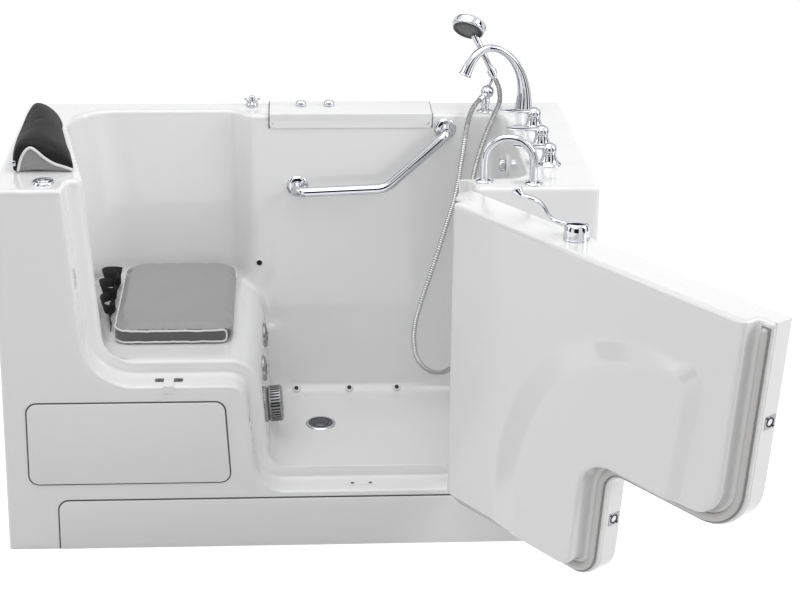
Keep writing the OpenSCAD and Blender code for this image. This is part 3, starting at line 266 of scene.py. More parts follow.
def plate(corners, near, far, steps=10):
    """Closed slab between two depths, with rounded corners in its outline."""
    bm = bmesh.new()
    outline(bm, corners, near, steps)
    drawn_out(bm, (0, far - near, 0))
    bmesh.ops.recalc_face_normals(bm, faces=bm.faces[:])
    return bm


def moved(bm, by):
    bmesh.ops.translate(bm, vec=by, verts=bm.verts[:])
    return bm


def block(low, high):
    """Closed box between two corners."""
    bm = bmesh.new()
    bmesh.ops.create_cube(bm, size=1)
    size = Vector(high) - Vector(low)
    bmesh.ops.scale(bm, vec=size, verts=bm.verts[:])
    return moved(bm, Vector(low) + size / 2)


def put(name, bm):
    """Object of that name from a finished bmesh."""
    mesh = bpy.data.meshes.new(name)
    bm.to_mesh(mesh)
    bm.free()
    piece = bpy.data.objects.new(name, mesh)
    scene.collection.objects.link(piece)
    return piece


def settled(piece):
    """Applies a piece's modifiers, or turns a curve into a mesh."""
    name = piece.name
    shape = bpy.data.meshes.new_from_object(
        piece.evaluated_get(bpy.context.evaluated_depsgraph_get()))
    if piece.type == "MESH":
        piece.modifiers.clear()
        piece.data = shape
    else:
        bpy.data.objects.remove(piece)
        piece = bpy.data.objects.new(name, shape)
        scene.collection.objects.link(piece)
    shape.name = name
    return piece


def carve(body, bm, operation="DIFFERENCE"):
    """Cuts a closed form out of a body, or joins it on."""
    tool = put("cutter", bm)
    cut = body.modifiers.new("cut", "BOOLEAN")
    cut.operation, cut.object, cut.solver = operation, tool, "EXACT"
    settled(body)
    bpy.data.objects.remove(tool)


def even(body, cell, passes):
    """Even skin over a carved body, with its edges eased."""
    skin = body.modifiers.new("skin", "REMESH")
    skin.mode, skin.voxel_size = "VOXEL", cell
    ease = body.modifiers.new("ease", "SMOOTH")
    ease.factor, ease.iterations = 0.5, passes
    settled(body)


def round_edges(bm, chosen, radius, steps):
    """Bevels the edges whose two ends are chosen."""
    bmesh.ops.bevel(bm, geom=[e for e in bm.edges if chosen(*(v.co for v in e.verts))],
                    offset=radius, offset_type="OFFSET", segments=steps, profile=0.5,
                    affect="EDGES", material=-1)


def seat_room():
    """Room over the seat: reclined back, wide rear corner, back wall that steps in."""
    swing_in = [(-0.12 - 0.007 * i, BACK_WALL + 0.025 * (1 - math.cos(math.pi * i / 10)))
                for i in range(11)]
    plan = ([(-0.5013, WALL_Y), (-0.064, WALL_Y), (-0.064, BACK_WALL)] + swing_in
            + [(-0.615, 0.304)])
    bm = bmesh.new()
    bm.faces.new([bm.verts.new((x, y, SEAT_Z)) for x, y in plan])
    for v in drawn_out(bm, (0, 0, ROOM_TOP - SEAT_Z)):
        if v.co.x < -0.45:
            v.co.x = -0.5471 if v.co.y < 0 else -0.6622
    bmesh.ops.recalc_face_normals(bm, faces=bm.faces[:])
    standing = lambda a, b: abs(a.z - b.z) > 0.3
    low = lambda a, b: max(a.z, b.z) < SEAT_Z + 1e-4
    round_edges(bm, lambda a, b: standing(a, b) and a.x < -0.5 and a.y > 0, 0.15, 14)
    round_edges(bm, lambda a, b: standing(a, b) and a.x < -0.45 and a.y < -0.2, 0.004, 2)
    round_edges(bm, lambda a, b: low(a, b) and (a.x + b.x) / 2 < -0.1
                and (a.y + b.y) / 2 > WALL_Y + 1e-3, 0.03, 6)
    return bm


def foot_room():
    """Foot well: leaning riser, round corners and a cove at the floor."""
    bm = block((-0.1, WALL_Y, WELL_FLOOR), (WELL_END, BACK_WALL, ROOM_TOP))
    for v in bm.verts:
        if v.co.x < 0:
            v.co.x = riser(v.co.z) + RABBET
    round_edges(bm, lambda a, b: abs(a.z - b.z) > 0.3 and (a.x > 0 or a.y > 0), 0.060, 8)
    round_edges(bm, lambda a, b: max(a.z, b.z) < WELL_FLOOR + 1e-3, COVE_R, 7)
    return bm


tub = put("moulded_tub", block((LEFT, FRONT, -0.06), (RIGHT, BACK, DECK)))
carve(tub, foot_room())
carve(tub, seat_room())
NOSE_TOP, NOSE_LOW, NOSE_R = SEAT_Z, 0.36, 0.082
carve(tub, plate([(-0.26, 0.52, 0), (-0.26, NOSE_TOP, 0),
                  (riser(NOSE_TOP) + RABBET, NOSE_TOP, NOSE_R),
                  (riser(NOSE_LOW) + RABBET, NOSE_LOW, 0), (0.02, NOSE_LOW, 0),
                  (0.02, 0.52, 0)], WALL_Y, BACK_WALL))
carve(tub, plate(doorway(0), FRONT - 0.05, STEP_Y))
carve(tub, plate(doorway(-RABBET), STEP_Y - 0.002, WALL_Y + 0.01))

FIXED_LEFT, LEAN_LEFT, LEAN_RIGHT, FIXED_RIGHT = -0.755, -0.63, -0.12, 0.10


def lean_share(x):
    """One between the two leaning edges, and zero beyond the fixed places."""
    return max(0.0, min(1.0, (x - FIXED_LEFT) / (LEAN_LEFT - FIXED_LEFT),
                        (FIXED_RIGHT - x) / (FIXED_RIGHT - LEAN_RIGHT)))


def upright(x, z):
    """Where a point of the leaning edges comes when they stand upright."""
    place = x
    for turn in range(40):
        place = 0.4 * place + 0.6 * (x - lean_share(place) * (DECK - z) * LEAN)
    return place


for v in tub.data.vertices:
    v.co.x = upright(v.co.x, v.co.z)
even(tub, 0.006, 12)
for v in tub.data.vertices:
    v.co.x += lean_share(v.co.x) * (DECK - v.co.z) * LEAN


def reworked(piece, change):
    """Runs a bmesh change on a piece's own mesh."""
    bm = bmesh.new()
    bm.from_mesh(piece.data)
    change(bm)
    bm.to_mesh(piece.data)
    bm.free()


def opened(bm):
    """Cuts the tub off at the floor, and opens its back and its ends below the lip."""
    bmesh.ops.bisect_plane(bm, geom=bm.verts[:] + bm.edges[:] + bm.faces[:], dist=1e-5,
                           plane_co=(0, 0, 0), plane_no=(0, 0, -1), clear_outer=True)
    open_faces = []
    for face in bm.faces:
        x, y, z = face.calc_center_median()
        end = abs(x) > RIGHT - WALL_DEPTH and y > FRONT + LIP
        if z < DECK - LIP and (end or y > BACK - WALL_DEPTH):
            open_faces.append(face)
    bmesh.ops.delete(bm, geom=open_faces, context="FACES")


def flattened(piece, weight=80, keep_sharp=False, mode="FACE_AREA"):
    """Applies a piece's modifiers, with normals that keep its wide faces flat."""
    flats = piece.modifiers.new("flats", "WEIGHTED_NORMAL")
    flats.mode, flats.weight, flats.keep_sharp = mode, weight, keep_sharp
    piece.data.shade_smooth()
    return settled(piece)


def finish_of(name, colour, metallic=0.0, low=0.08, high=0.2, wave=6.0, haze=90.0,
              relief=0.0):
    """Principled material whose roughness drifts over the surface, with a faint wave.

    The colour is red, green and blue, or one number for a grey."""
    material = blank(name)
    shade = colour if isinstance(colour, tuple) else (colour, colour, colour)
    play = played(material.node_tree, {"Wave": wave, "Haze": haze, "Low": low,
                                       "High": high})
    tuned(material, {"Base Color": (*shade, 1), "Metallic": metallic,
                     "Roughness": play["Roughness"]})
    if relief:
        bump = fresh(material.node_tree, "Bump", {"Distance": relief,
                                                  "Height": play["Height"]})
        tuned(material, {"Normal": bump.outputs["Normal"]})
    return material


LIP, WALL_DEPTH = 0.045, 0.0025
reworked(tub, opened)
tub.modifiers.new("thin", "DECIMATE").ratio = 0.34
wall = tub.modifiers.new("wall", "SOLIDIFY")
wall.thickness, wall.offset, wall.use_even_offset = 0.003, -1, False
tub = flattened(tub, 50, mode="FACE_AREA_WITH_ANGLE")
acrylic = tuned(finish_of("white_acrylic", (0.88, 0.88, 0.882), low=0.1, high=0.2,
                          wave=3.0, haze=160.0, relief=0.0006),
                {"Coat Weight": 0.6, "Coat Roughness": 0.04})
dress(tub, acrylic,
      stands_for=("front_wall", "rim_deck", "seat_shell", "well_shell"))


# ---- Grab bars -----------------------------------------------------------------------
# Polished tube: the long bar bends twice along the back wall, and a thinner arch stands
# on the right deck. Each end sits in a low round rose.
def eased(points, reach, steps=4):
    """The same line with its corners rounded."""
    line = [Vector(p) for p in points]
    result = [line[0]]
    for a, b, c in zip(line, line[1:], line[2:]):
        start = b + (a - b).normalized() * min(reach, (a - b).length / 2)
        end = b + (c - b).normalized() * min(reach, (c - b).length / 2)
        for i in range(steps + 1):
            u = i / steps
            result.append((1 - u) ** 2 * start + 2 * u * (1 - u) * b + u * u * end)
    return result + [line[-1]]


def turned(profile, steps=40, ease=0, bends=4):
    """Closed form turned about Z from (radius, height) points in millimetres."""
    line = eased(profile, ease, bends) if ease else profile
    bm = bmesh.new()
    knots = [bm.verts.new((p[0] / 1000, 0, p[1] / 1000)) for p in line]
    edges = [bm.edges.new(pair) for pair in zip(knots, knots[1:])]
    bmesh.ops.spin(bm, geom=knots + edges, cent=(0, 0, 0), axis=(0, 0, 1),
                   angle=2 * math.pi, steps=steps, use_merge=True)
    bmesh.ops.remove_doubles(bm, verts=bm.verts[:], dist=1e-5)
    bmesh.ops.recalc_face_normals(bm, faces=bm.faces[:])
    return bm


def aimed(bm, at, direction):
    """Points what was drawn along Z another way, from there."""
    turn = Vector((0, 0, 1)).rotation_difference(Vector(direction)).to_matrix()
    bmesh.ops.rotate(bm, cent=(0, 0, 0), matrix=turn, verts=bm.verts[:])
    return moved(bm, at)


def gathered(parts):
    """One bmesh from several."""
    whole = bmesh.new()
    for part in parts:
        mesh = bpy.data.meshes.new("part")
        part.to_mesh(mesh)
        part.free()
        whole.from_mesh(mesh)
        bpy.data.meshes.remove(mesh)
    return whole


def smooth_by_angle(piece, degrees=38):
    piece.data.shade_smooth()
    piece.data.set_sharp_from_angle(angle=math.radians(degrees))
    return piece


def fitting(name, bm, material, body="tub", stands_for=(), crease=38):
    """Finished piece from a bmesh, with a crease where its faces turn sharply."""
    return dress(smooth_by_angle(put(name, bm), crease), material, body, stands_for)


chrome = finish_of("polished_chrome", (0.66, 0.67, 0.69), 1.0, low=0.025, high=0.07,
                   wave=5.0, haze=140.0)

BAR_OUT, BAR_LOW, BAR_HIGH = 0.196, (0.002, 0.788), (0.421, 0.957)
bar_line = eased([(BAR_LOW[0], BACK_WALL, BAR_LOW[1]), (BAR_LOW[0], BAR_OUT, BAR_LOW[1]),
                  (0.251, BAR_OUT, 0.799), (BAR_HIGH[0], BAR_OUT, BAR_HIGH[1]),
                  (BAR_HIGH[0], BACK_WALL, BAR_HIGH[1])], 0.026, 10)
wall_bar = settled(wire("wall_grab_bar", bar_line, 0.014, sides=10))
dress(wall_bar, chrome, stands_for=("wall_bar",))

foot_a, foot_b = Vector((0.472, -0.326, DECK)), Vector((0.595, -0.348, DECK))
half_span, leg, sunk = (foot_b - foot_a) / 2, 0.055, Vector((0, 0, 0.004))
arch_line = [foot_a - sunk, foot_a + Vector((0, 0, leg / 2))]
for i in range(25):
    angle = math.pi * i / 24
    arch_line.append(foot_a + half_span * (1 - math.cos(angle))
                     + Vector((0, 0, leg + half_span.length * math.sin(angle))))
arch_line += [foot_b + Vector((0, 0, leg / 2)), foot_b - sunk]
deck_arch = settled(wire("deck_grab_arch", arch_line, 0.0105, sides=9))
dress(deck_arch, chrome, stands_for=("deck_bar",))


def rose(radius, collar, height):
    """Low round rose, sizes in millimetres."""
    return turned([(0, -1), (radius, -1), (radius, 2.2), (radius * 0.8, height * 0.72),
                   (collar + 3, height * 0.84), (collar + 1, height), (0, height)],
                  ease=3)


roses = gathered([aimed(rose(31, 14, 9), (x, BACK_WALL - 0.0005, z), (0, -1, 0))
                  for x, z in (BAR_LOW, BAR_HIGH)]
                 + [moved(rose(24, 10.5, 8), foot) for foot in (foot_a, foot_b)])
fitting("grab_bar_roses", roses, chrome, stands_for=("bar_roses",))
for piece in (wall_bar, deck_arch):
    smooth_by_angle(piece)


# ---- Spout and taps ------------------------------------------------------------------
# A wide tapering swan neck over the foot well, and three levers in line behind it on
# stepped bell roses. The levers lie over the well like petals.
def sleeve(line, sections, across, sides=28):
    """Skin over ellipses along a line; a section is half a width and half a height."""
    bm = bmesh.new()
    rings = []
    for i, (centre, (wide, high)) in enumerate(zip(line, sections)):
        ahead = (line[min(i + 1, len(line) - 1)] - line[max(i - 1, 0)]).normalized()
        across = (across - across.dot(ahead) * ahead).normalized()
        up = ahead.cross(across)
        rings.append([bm.verts.new(centre
                                   + wide * math.cos(2 * math.pi * k / sides) * across
                                   + high * math.sin(2 * math.pi * k / sides) * up)
                      for k in range(sides)])
    for low, top in zip(rings, rings[1:]):
        for k in range(sides):
            bm.faces.new((low[k], low[(k + 1) % sides], top[(k + 1) % sides], top[k]))
    bm.faces.new(rings[0])
    bm.faces.new(rings[-1])
    bmesh.ops.recalc_face_normals(bm, faces=bm.faces[:])
    return bm


SPOUT_FOOT = Vector((0.646, 0.290, DECK))
SPOUT_TURN = math.radians(14)
SWAN = [(0, 0), (0.001, 0.055), (-0.009, 0.106), (-0.036, 0.154), (-0.074, 0.185),
        (-0.112, 0.1935), (-0.144, 0.178), (-0.166, 0.148), (-0.179, 0.118)]
SWAN_WIDE = (0.0285, 0.0225, 0.0180, 0.0145, 0.0120, 0.0110, 0.0120, 0.0150, 0.0190)
swan = eased([(x, 0, z) for x, z in SWAN], 0.03, 5)
swan_far = [0.0]
for a, b in zip(swan, swan[1:]):
    swan_far.append(swan_far[-1] + (b - a).length)
spout_line, spout_sections = [], []
for point, far in zip(swan, swan_far):
    spout_line.append(SPOUT_FOOT + Vector((point.x * math.cos(SPOUT_TURN),
                                           point.x * math.sin(SPOUT_TURN), point.z)))
    place = far / swan_far[-1] * (len(SWAN_WIDE) - 1)
    k = min(int(place), len(SWAN_WIDE) - 2)
    wide = SWAN_WIDE[k] + (SWAN_WIDE[k + 1] - SWAN_WIDE[k]) * (place - k)
    spout_sections.append((wide, wide * 0.92))
spout_tip = spout_line[-1]
spout_end = (spout_line[-1] - spout_line[-3]).normalized()
spout = sleeve(spout_line, spout_sections,
               Vector((-math.sin(SPOUT_TURN), math.cos(SPOUT_TURN), 0)), 36)
rim = aimed(turned([(15, -4), (18.6, -4), (19.6, -1), (19, 1.6), (15, 1.6), (15, -4)], 36,
                   0.8), spout_tip, spout_end)
spout = put("swan_neck_spout", gathered([spout, rim]))
dress(smooth_by_angle(spout), chrome, stands_for=("spout",))
aerator_black = finish_of("aerator_black", 0.03, low=0.4, high=0.55)
dress(put("spout_aerator", aimed(turned([(0, 0.2), (14.8, 0.2), (14.8, 1), (0, 1)], 28),
                                 spout_tip, spout_end)), aerator_black, smooth=False)

TAP_X, TAP_Y, BELL_TALL = 0.655, (0.125, -0.040, -0.194), 0.034
bells = [moved(turned([(0, -1), (32, -1), (32.5, 2.5), (26, 7), (22.5, 12), (18.5, 24),
                       (17.5, 34), (0, 34)], ease=3), (TAP_X, y, DECK)) for y in TAP_Y]
bells.append(moved(turned([(0, -1), (36.5, -1), (37, 2), (31, 5.5), (26.5, 7), (0, 7)],
                          ease=2), SPOUT_FOOT))
HOLDER_FOOT = Vector((0.536, 0.290, DECK))
bells.append(moved(rose(26, 12, 8), HOLDER_FOOT))
fitting("tap_bells", gathered(bells), chrome, stands_for=("tap_roses",))


def petal_lever(name, y):
    """Domed hub with a petal that swells to its round end."""
    hub = moved(turned([(0, 0), (18.5, 0), (20, 5), (18.2, 14), (12.5, 21), (6, 24.2),
                        (0, 25)], ease=3, bends=5), (TAP_X, y, DECK + BELL_TALL + 0.0003))
    line, sections = [], []
    for i in range(25):
        u = i / 24
        line.append(Vector((TAP_X - 0.006 - 0.091 * u, y, DECK + 0.0465
                            + 0.007 * u ** 0.8 - 0.0015 * math.sin(math.pi * u))))
        swell = math.sin(math.pi / 2 * min(1, max(0, u - 0.15) / 0.6)) ** 2
        end = math.sqrt(max(0.0, 1 - max(0, (u - 0.76) / 0.24) ** 2))
        sections.append((max(0.0006, (0.0105 + 0.0105 * swell) * end),
                         max(0.0005, (0.0052 - 0.0018 * u) * end)))
    petal = sleeve(line, sections, Vector((0, 1, 0)), 24)
    stem = moved(turned([(0, 0), (7.9, 0), (7.9, 58), (0, 58)], 24),
                 (TAP_X, y, DECK - 0.022))
    lever = put(name, gathered([hub, petal, stem]))
    return smooth_by_angle(lever, 45)


for name, y in zip(("hot_lever", "diverter_lever", "cold_lever"), TAP_Y):
    dress(petal_lever(name + "_petal", y), chrome, name, (name,))


# ---- Hand shower ---------------------------------------------------------------------
# It leans in a split cradle on a turning knob. The head looks down to the seat: chrome
# drum, dark toothed spray ring and a grey middle with fine nozzles.
GRIP_TOP = CRADLE + 0.074 * GRIP
FACE = GRIP_TOP + Vector((-0.040, -0.002, 0.054))
LOOK = Vector((-0.32, -0.64, -0.70)).normalized()
drum = turned([(0, 2), (40.5, 2), (43, 0), (47.5, 1.5), (49, 6.5), (48.8, 20),
               (46.6, 26.5), (38, 31), (22, 34.5), (10, 35.8), (0, 36)], 56, 3)
neck = aimed(turned([(0, 0), (9.5, 0), (10.5, 20), (10, 45), (0, 45)], 28), GRIP_TOP,
             (FACE - 0.02 * LOOK - GRIP_TOP).normalized())
handle = aimed(turned([(0, -20), (7, -20), (7.2, -14), (9.2, -11), (9.5, 12), (8.8, 30),
                       (9.2, 60), (10.5, 74), (7.5, 83), (0, 84)], 28, 3), CRADLE, GRIP)
tab = block((-0.007, -0.0015, -0.006), (0.007, 0.0015, 0.010))
aimed(tab, FACE - 0.006 * LOOK + 0.0515 * LOOK.cross(Vector((0, 0, 1))).cross(LOOK)
      .normalized(), -LOOK)
shower = put("hand_shower", gathered([aimed(drum, FACE, -LOOK), neck, handle, tab]))
dress(smooth_by_angle(shower), chrome, stands_for=("handset",))

teeth = [moved(block((-0.0011, -0.0022, -0.0018), (0.0011, 0.0022, 0.0006)),
               (0.0385 * math.cos(2 * math.pi * k / 40),
                0.0385 * math.sin(2 * math.pi * k / 40), 0)) for k in range(40)]
spray_ring = gathered([turned([(30, 1), (30, -0.4), (41.5, -1.2), (42.5, 1.5), (30, 1.5)],
                              56, 0.5)] + teeth)
ring_rubber = finish_of("spray_ring_rubber", (0.035, 0.035, 0.037), low=0.35, high=0.5)
fitting("spray_ring", aimed(spray_ring, FACE, -LOOK), ring_rubber)
nozzles = [turned([(0, 2.2), (30.2, 2.2), (30.2, 0.4), (0, -0.4)], 48)]
for count, radius in ((8, 0.009), (14, 0.017), (20, 0.025)):
    for k in range(count):
        angle = 2 * math.pi * k / count
        nozzles.append(aimed(turned([(0, 0), (1.2, 0), (0.9, 1.6), (0, 1.7)], 8),
                             (radius * math.cos(angle), radius * math.sin(angle),
                              -0.0001), (0, 0, -1)))
plate_grey = finish_of("spray_plate", (0.16, 0.16, 0.165), low=0.3, high=0.45)
fitting("spray_plate", aimed(gathered(nozzles), FACE, -LOOK), plate_grey)

post = moved(turned([(0, -20), (11, -20), (11, 20), (13.5, 22), (13.8, 40), (11.5, 43),
                     (0, 43)], 32, 2), HOLDER_FOOT)
knob = aimed(turned([(0, -19.5), (10, -18), (16.8, -12), (20, 0), (16.8, 12), (10, 18),
                     (0, 19.5)], 36, 4, 5), HOLDER_KNOB, OUTLET)
prong_foot = HOLDER_KNOB + Vector((0.004, 0.004, 0.014))
arm = sleeve(eased([prong_foot, prong_foot.lerp(CRADLE, 0.5) + Vector((0.006, 0.008, 0)),
                           CRADLE + Vector((0.002, 0.013, 0))], 0.012, 6),
             [(0.0052, 0.0042)] * 9, Vector((1, 0, 0)), 16)
CUP_STEPS, CUP_OPEN = 24, math.radians(36)
cup = bmesh.new()
knots = [cup.verts.new((radius, 0, height)) for radius, height in (
    (0.0097, -0.009), (0.0130, -0.009), (0.0150, 0.009), (0.0097, 0.009))]
rim_edges = [cup.edges.new((knots[i - 1], knots[i])) for i in range(4)]
bmesh.ops.rotate(cup, cent=(0, 0, 0), verts=cup.verts[:],
                 matrix=Matrix.Rotation(CUP_OPEN + math.pi / 2, 3, "Z"))
bmesh.ops.spin(cup, geom=knots + rim_edges, cent=(0, 0, 0), axis=(0, 0, 1),
               angle=2 * (math.pi - CUP_OPEN), steps=CUP_STEPS, use_merge=False)
bmesh.ops.holes_fill(cup, edges=cup.edges[:], sides=4)
bmesh.ops.recalc_face_normals(cup, faces=cup.faces[:])
holder = put("shower_cradle", gathered([post, knob, arm, aimed(cup, CRADLE, GRIP)]))
dress(smooth_by_angle(holder), chrome, stands_for=("shower_holder",))
elbow = turned([(0, 10), (9.2, 10), (9.5, 20), (7.8, 22), (7.8, 26), (9.4, 27), (9.4, 36),
                (8.5, 38), (0, 38)], 28, 1.2)
fitting("hose_elbow", aimed(elbow, HOLDER_KNOB, OUTLET), chrome,
        stands_for=("hose_outlet",))


# ---- Door ----------------------------------------------------------------------------
# Two thin mouldings joined back to back: a flat outer tray and an inner half with the
# plug that fills the doorway, and an arched pad raised on the plug. It is made closed
# and swung open round its hinge pins.
HINGE = Vector((0.4425, -0.389, 0))
OPEN_TURN = Matrix.Rotation(math.radians(126), 3, "Z")
PANEL_Y, PLUG_Y, TRAY_IN, PLUG_IN, STEP_IN = -0.329, -0.276, -0.005, -0.0056, -0.047


def swing(bm):
    bmesh.ops.rotate(bm, cent=HINGE, matrix=OPEN_TURN, verts=bm.verts[:])
    return bm


tray = plate(doorway(TRAY_IN, DECK), FRONT, PANEL_Y)
round_edges(tray, lambda a, b: max(a.y, b.y) < FRONT + 1e-4, 0.007, 4)
tray = flattened(smooth_by_angle(put("door_tray", swing(tray))), keep_sharp=True)
dress(tray, acrylic, "door", ("door_outer_panel",), smooth=False)

plug = put("door_plug", plate(doorway(PLUG_IN, DECK - 0.0002), PANEL_Y - 0.036,
                              PANEL_Y + 0.012))
carve(plug, plate(doorway(STEP_IN, DECK), PANEL_Y + 0.002, PLUG_Y), "UNION")
pad = bmesh.new()
pad_base = [(0.250, 0.2045, 0), (0.236, 0.420, 0.45), (0.150, 0.640, 0.45),
            (0.000, 0.795, 0.45), (-0.200, 0.866, 0.45), (-0.463, 0.872, 0.05),
            (-0.402, 0.511, 0.02), (-0.094, 0.511, 0.092), (-0.0675, 0.2045, 0.037)]
pad_top = [(0.132, 0.2045, 0), (0.126, 0.400, 0.40), (0.070, 0.575, 0.40),
           (-0.040, 0.710, 0.40), (-0.190, 0.790, 0.40), (-0.401, 0.826, 0.04),
           (-0.358, 0.511, 0.02), (-0.094, 0.511, 0.092), (-0.0675, 0.2045, 0.037)]
outline(pad, pad_base, PLUG_Y - 0.004)
outline(pad, pad_top, PLUG_Y + 0.012)
bmesh.ops.bridge_loops(pad, edges=pad.edges[:])
bmesh.ops.recalc_face_normals(pad, faces=pad.faces[:])
carve(plug, pad, "UNION")
even(plug, 0.005, 7)
reworked(plug, swing)
plug.modifiers.new("thin", "DECIMATE").ratio = 0.4
plug = flattened(plug)
dress(plug, acrylic, "door", ("door_inner_panel",))

# Bolt plates: square steel plates let into the door's edge, each round a bolt.
UPPER_BOLT_Z, LOWER_BOLT_Z, BOLT_Y, PLATE_IN = 0.756, 0.331, -0.355, 0.00502
BOLT_SEATS = [Vector((jamb(UPPER_BOLT_Z) + PLATE_IN, BOLT_Y, UPPER_BOLT_Z)),
              Vector((riser(LOWER_BOLT_Z) + PLATE_IN, BOLT_Y, LOWER_BOLT_Z))]


def rotated(bm, angle, axis="Z"):
    bmesh.ops.rotate(bm, cent=(0, 0, 0), verts=bm.verts[:],
                     matrix=Matrix.Rotation(angle, 3, axis))
    return bm


def seated(bm, seat):
    """Puts what was drawn at a bolt's seat on the closed door, then swings it open."""
    return swing(moved(rotated(bm, -LEAN_ANGLE, "Y"), seat))


def bolt_plate():
    """Square steel plate with eased corners."""
    bm = block((-0.0012, -0.0168, -0.0168), (0.020, 0.0168, 0.0168))
    round_edges(bm, lambda a, b: abs(a.x - b.x) > 0.01, 0.003, 4)
    round_edges(bm, lambda a, b: max(a.x, b.x) < -0.001, 0.0007, 2)
    return bm


plates, rings, holes, screws = [], [], [], []
for seat in BOLT_SEATS:
    plates.append(seated(bolt_plate(), seat))
    holes.append(seated(aimed(turned([(0, -30), (8.4, -30), (8.4, 30), (0, 30)], 36),
                              (0, 0, 0), (1, 0, 0)), seat))
    ring = aimed(turned([(8.5, -3), (12.2, -0.2), (12.2, 0.6), (10.8, 1.2), (8.8, 0.8),
                         (8.5, -3)], 36, 0.4, 3), (-0.0013, 0, 0), (-1, 0, 0))
    rings.append(seated(ring, seat))
    for sign in (-1, 1):
        head = aimed(turned([(0, 0), (3, 0), (3, 0.5), (2.2, 1.1), (0, 1.2)], 20, 0.4),
                     (-0.0012, sign * 0.0118, sign * 0.0118), (-1, 0, 0))
        screws.append(seated(head, seat))
plate_steel = finish_of("bolt_plate_steel", (0.34, 0.34, 0.35), 1.0, low=0.2, high=0.34)
plates = put("bolt_plates", gathered(plates))
carve(plates, gathered(holes))
dress(smooth_by_angle(plates), plate_steel, "door", ("bolt_housings",))
# Blackened steel for the bolt rings and screws; the same black also paints the shade
# inside the suction cover and in the holes of the air jets.
black_steel_and_hole_shade = finish_of("blackened_screws_and_hole_shade", (0.02, 0.02, 0.022), 0.6, low=0.3, high=0.5)
fitting("bolt_rings", gathered(rings), black_steel_and_hole_shade, "door")
fitting("bolt_plate_screws", gathered(screws), black_steel_and_hole_shade, "door")


# ---- Door gasket ---------------------------------------------------------------------
# A white silicone tube in a grey rubber channel, which is pressed on the shoulder of the
# door's inner half along three sides. A round cap closes the tube at each upper end.
CHANNEL_OUT, CHANNEL_IN, CHANNEL_BACK, CHANNEL_FACE = -0.0105, -0.0350, -0.3185, -0.3163
channel = put("gasket_channel", plate(doorway(CHANNEL_OUT, DECK - 0.012), CHANNEL_BACK,
                                      CHANNEL_FACE))
carve(channel, plate(doorway(CHANNEL_IN, DECK + 0.1), -0.33, -0.30))
reworked(channel, swing)
grey_rubber = finish_of("channel_rubber", 0.34, low=0.45, high=0.6, haze=400.0)
dress(channel, grey_rubber, "door", smooth=False)
silicone = tuned(finish_of("white_silicone", (0.7, 0.7, 0.69), low=0.32, high=0.46,
                           haze=220.0),
                 {"Subsurface Weight": 0.15, "Subsurface Scale": 0.004})
TUBE_R, TUBE_TOP, TUBE_IN, TUBE_Y = 9.2, DECK - 0.024, -0.0245, -0.3153
run = bmesh.new()
outline(run, doorway(TUBE_IN, TUBE_TOP), TUBE_Y, 12)
run.faces.ensure_lookup_table()
loop = [v.co.copy() for v in run.faces[0].verts]
run.free()
tops = [i for i, p in enumerate(loop) if p.z > TUBE_TOP - 1e-4]
start = max(tops) if max(tops) - min(tops) == 1 else min(tops)
line = loop[start:] + loop[:start]
if (line[1] - line[0]).length > 0.5 and line[1].z > TUBE_TOP - 1e-4:
    line = line[1:] + line[:1]


def lifted(piece):
    """Takes a piece's mesh up again as a bmesh and removes the piece."""
    bm = bmesh.new()
    bm.from_mesh(piece.data)
    bpy.data.objects.remove(piece)
    return bm


tube = [lifted(settled(wire("gasket_line", line, TUBE_R / 1000, sides=5)))]
for end in (line[0], line[-1]):
    cap = turned([(0, 0), (TUBE_R, 0), (TUBE_R * 0.92, TUBE_R * 0.5),
                  (TUBE_R * 0.55, TUBE_R * 0.86), (0, TUBE_R)], 20, 2, 3)
    tube.append(moved(cap, end - Vector((0, 0, 0.0004))))
dress(put("gasket_tube", swing(gathered(tube))), silicone, "door",
      ("door_gasket",))


# ---- Lock lever ----------------------------------------------------------------------
# A chrome barrel that turns on the door's top edge, and a thin arm cast with it that
# rises in an S to a cone grip.
LEVER_FOOT = Vector((0.036, -0.345, DECK))
barrel = turned([(0, 0.4), (27.5, 0.4), (30, 3), (30, 26), (28.5, 34), (23.5, 40),
                 (0, 42.5)], 56, 5, 6)
lip = turned([(0, 0.2), (31.2, 0.2), (31.2, 3), (30, 4.2), (0, 4.2)], 56, 1)
arm_line, arm_sections = [], []
for i in range(33):
    u = i / 32
    sway = 0.017 * math.sin(2 * math.pi * u)
    arm_line.append(Vector((0.018 + 0.172 * u, sway * (1 - 0.25 * u),
                            0.030 + 0.022 * (3 * u * u - 2 * u ** 3))))
    arm_sections.append((0.0075 - 0.0027 * math.sin(math.pi * min(1, u * 1.25)),
                         0.0060 - 0.0016 * math.sin(math.pi * min(1, u * 1.25))))
arm = sleeve(arm_line, arm_sections, Vector((0, 1, 0)), 20)
grip_end = arm_line[-1]
grip = aimed(turned([(0, -4), (6, -4), (8.5, 4), (13.5, 14), (15, 18), (14, 22),
                     (6, 24.5), (0, 25)], 32, 3), grip_end, (0.8, 0.1, 0.6))
lever = gathered([barrel, lip, arm, grip])
bmesh.ops.translate(lever, vec=LEVER_FOOT, verts=lever.verts[:])
fitting("lock_lever_arm", swing(lever), chrome, "lock", ("lock_lever",),
        crease=45)


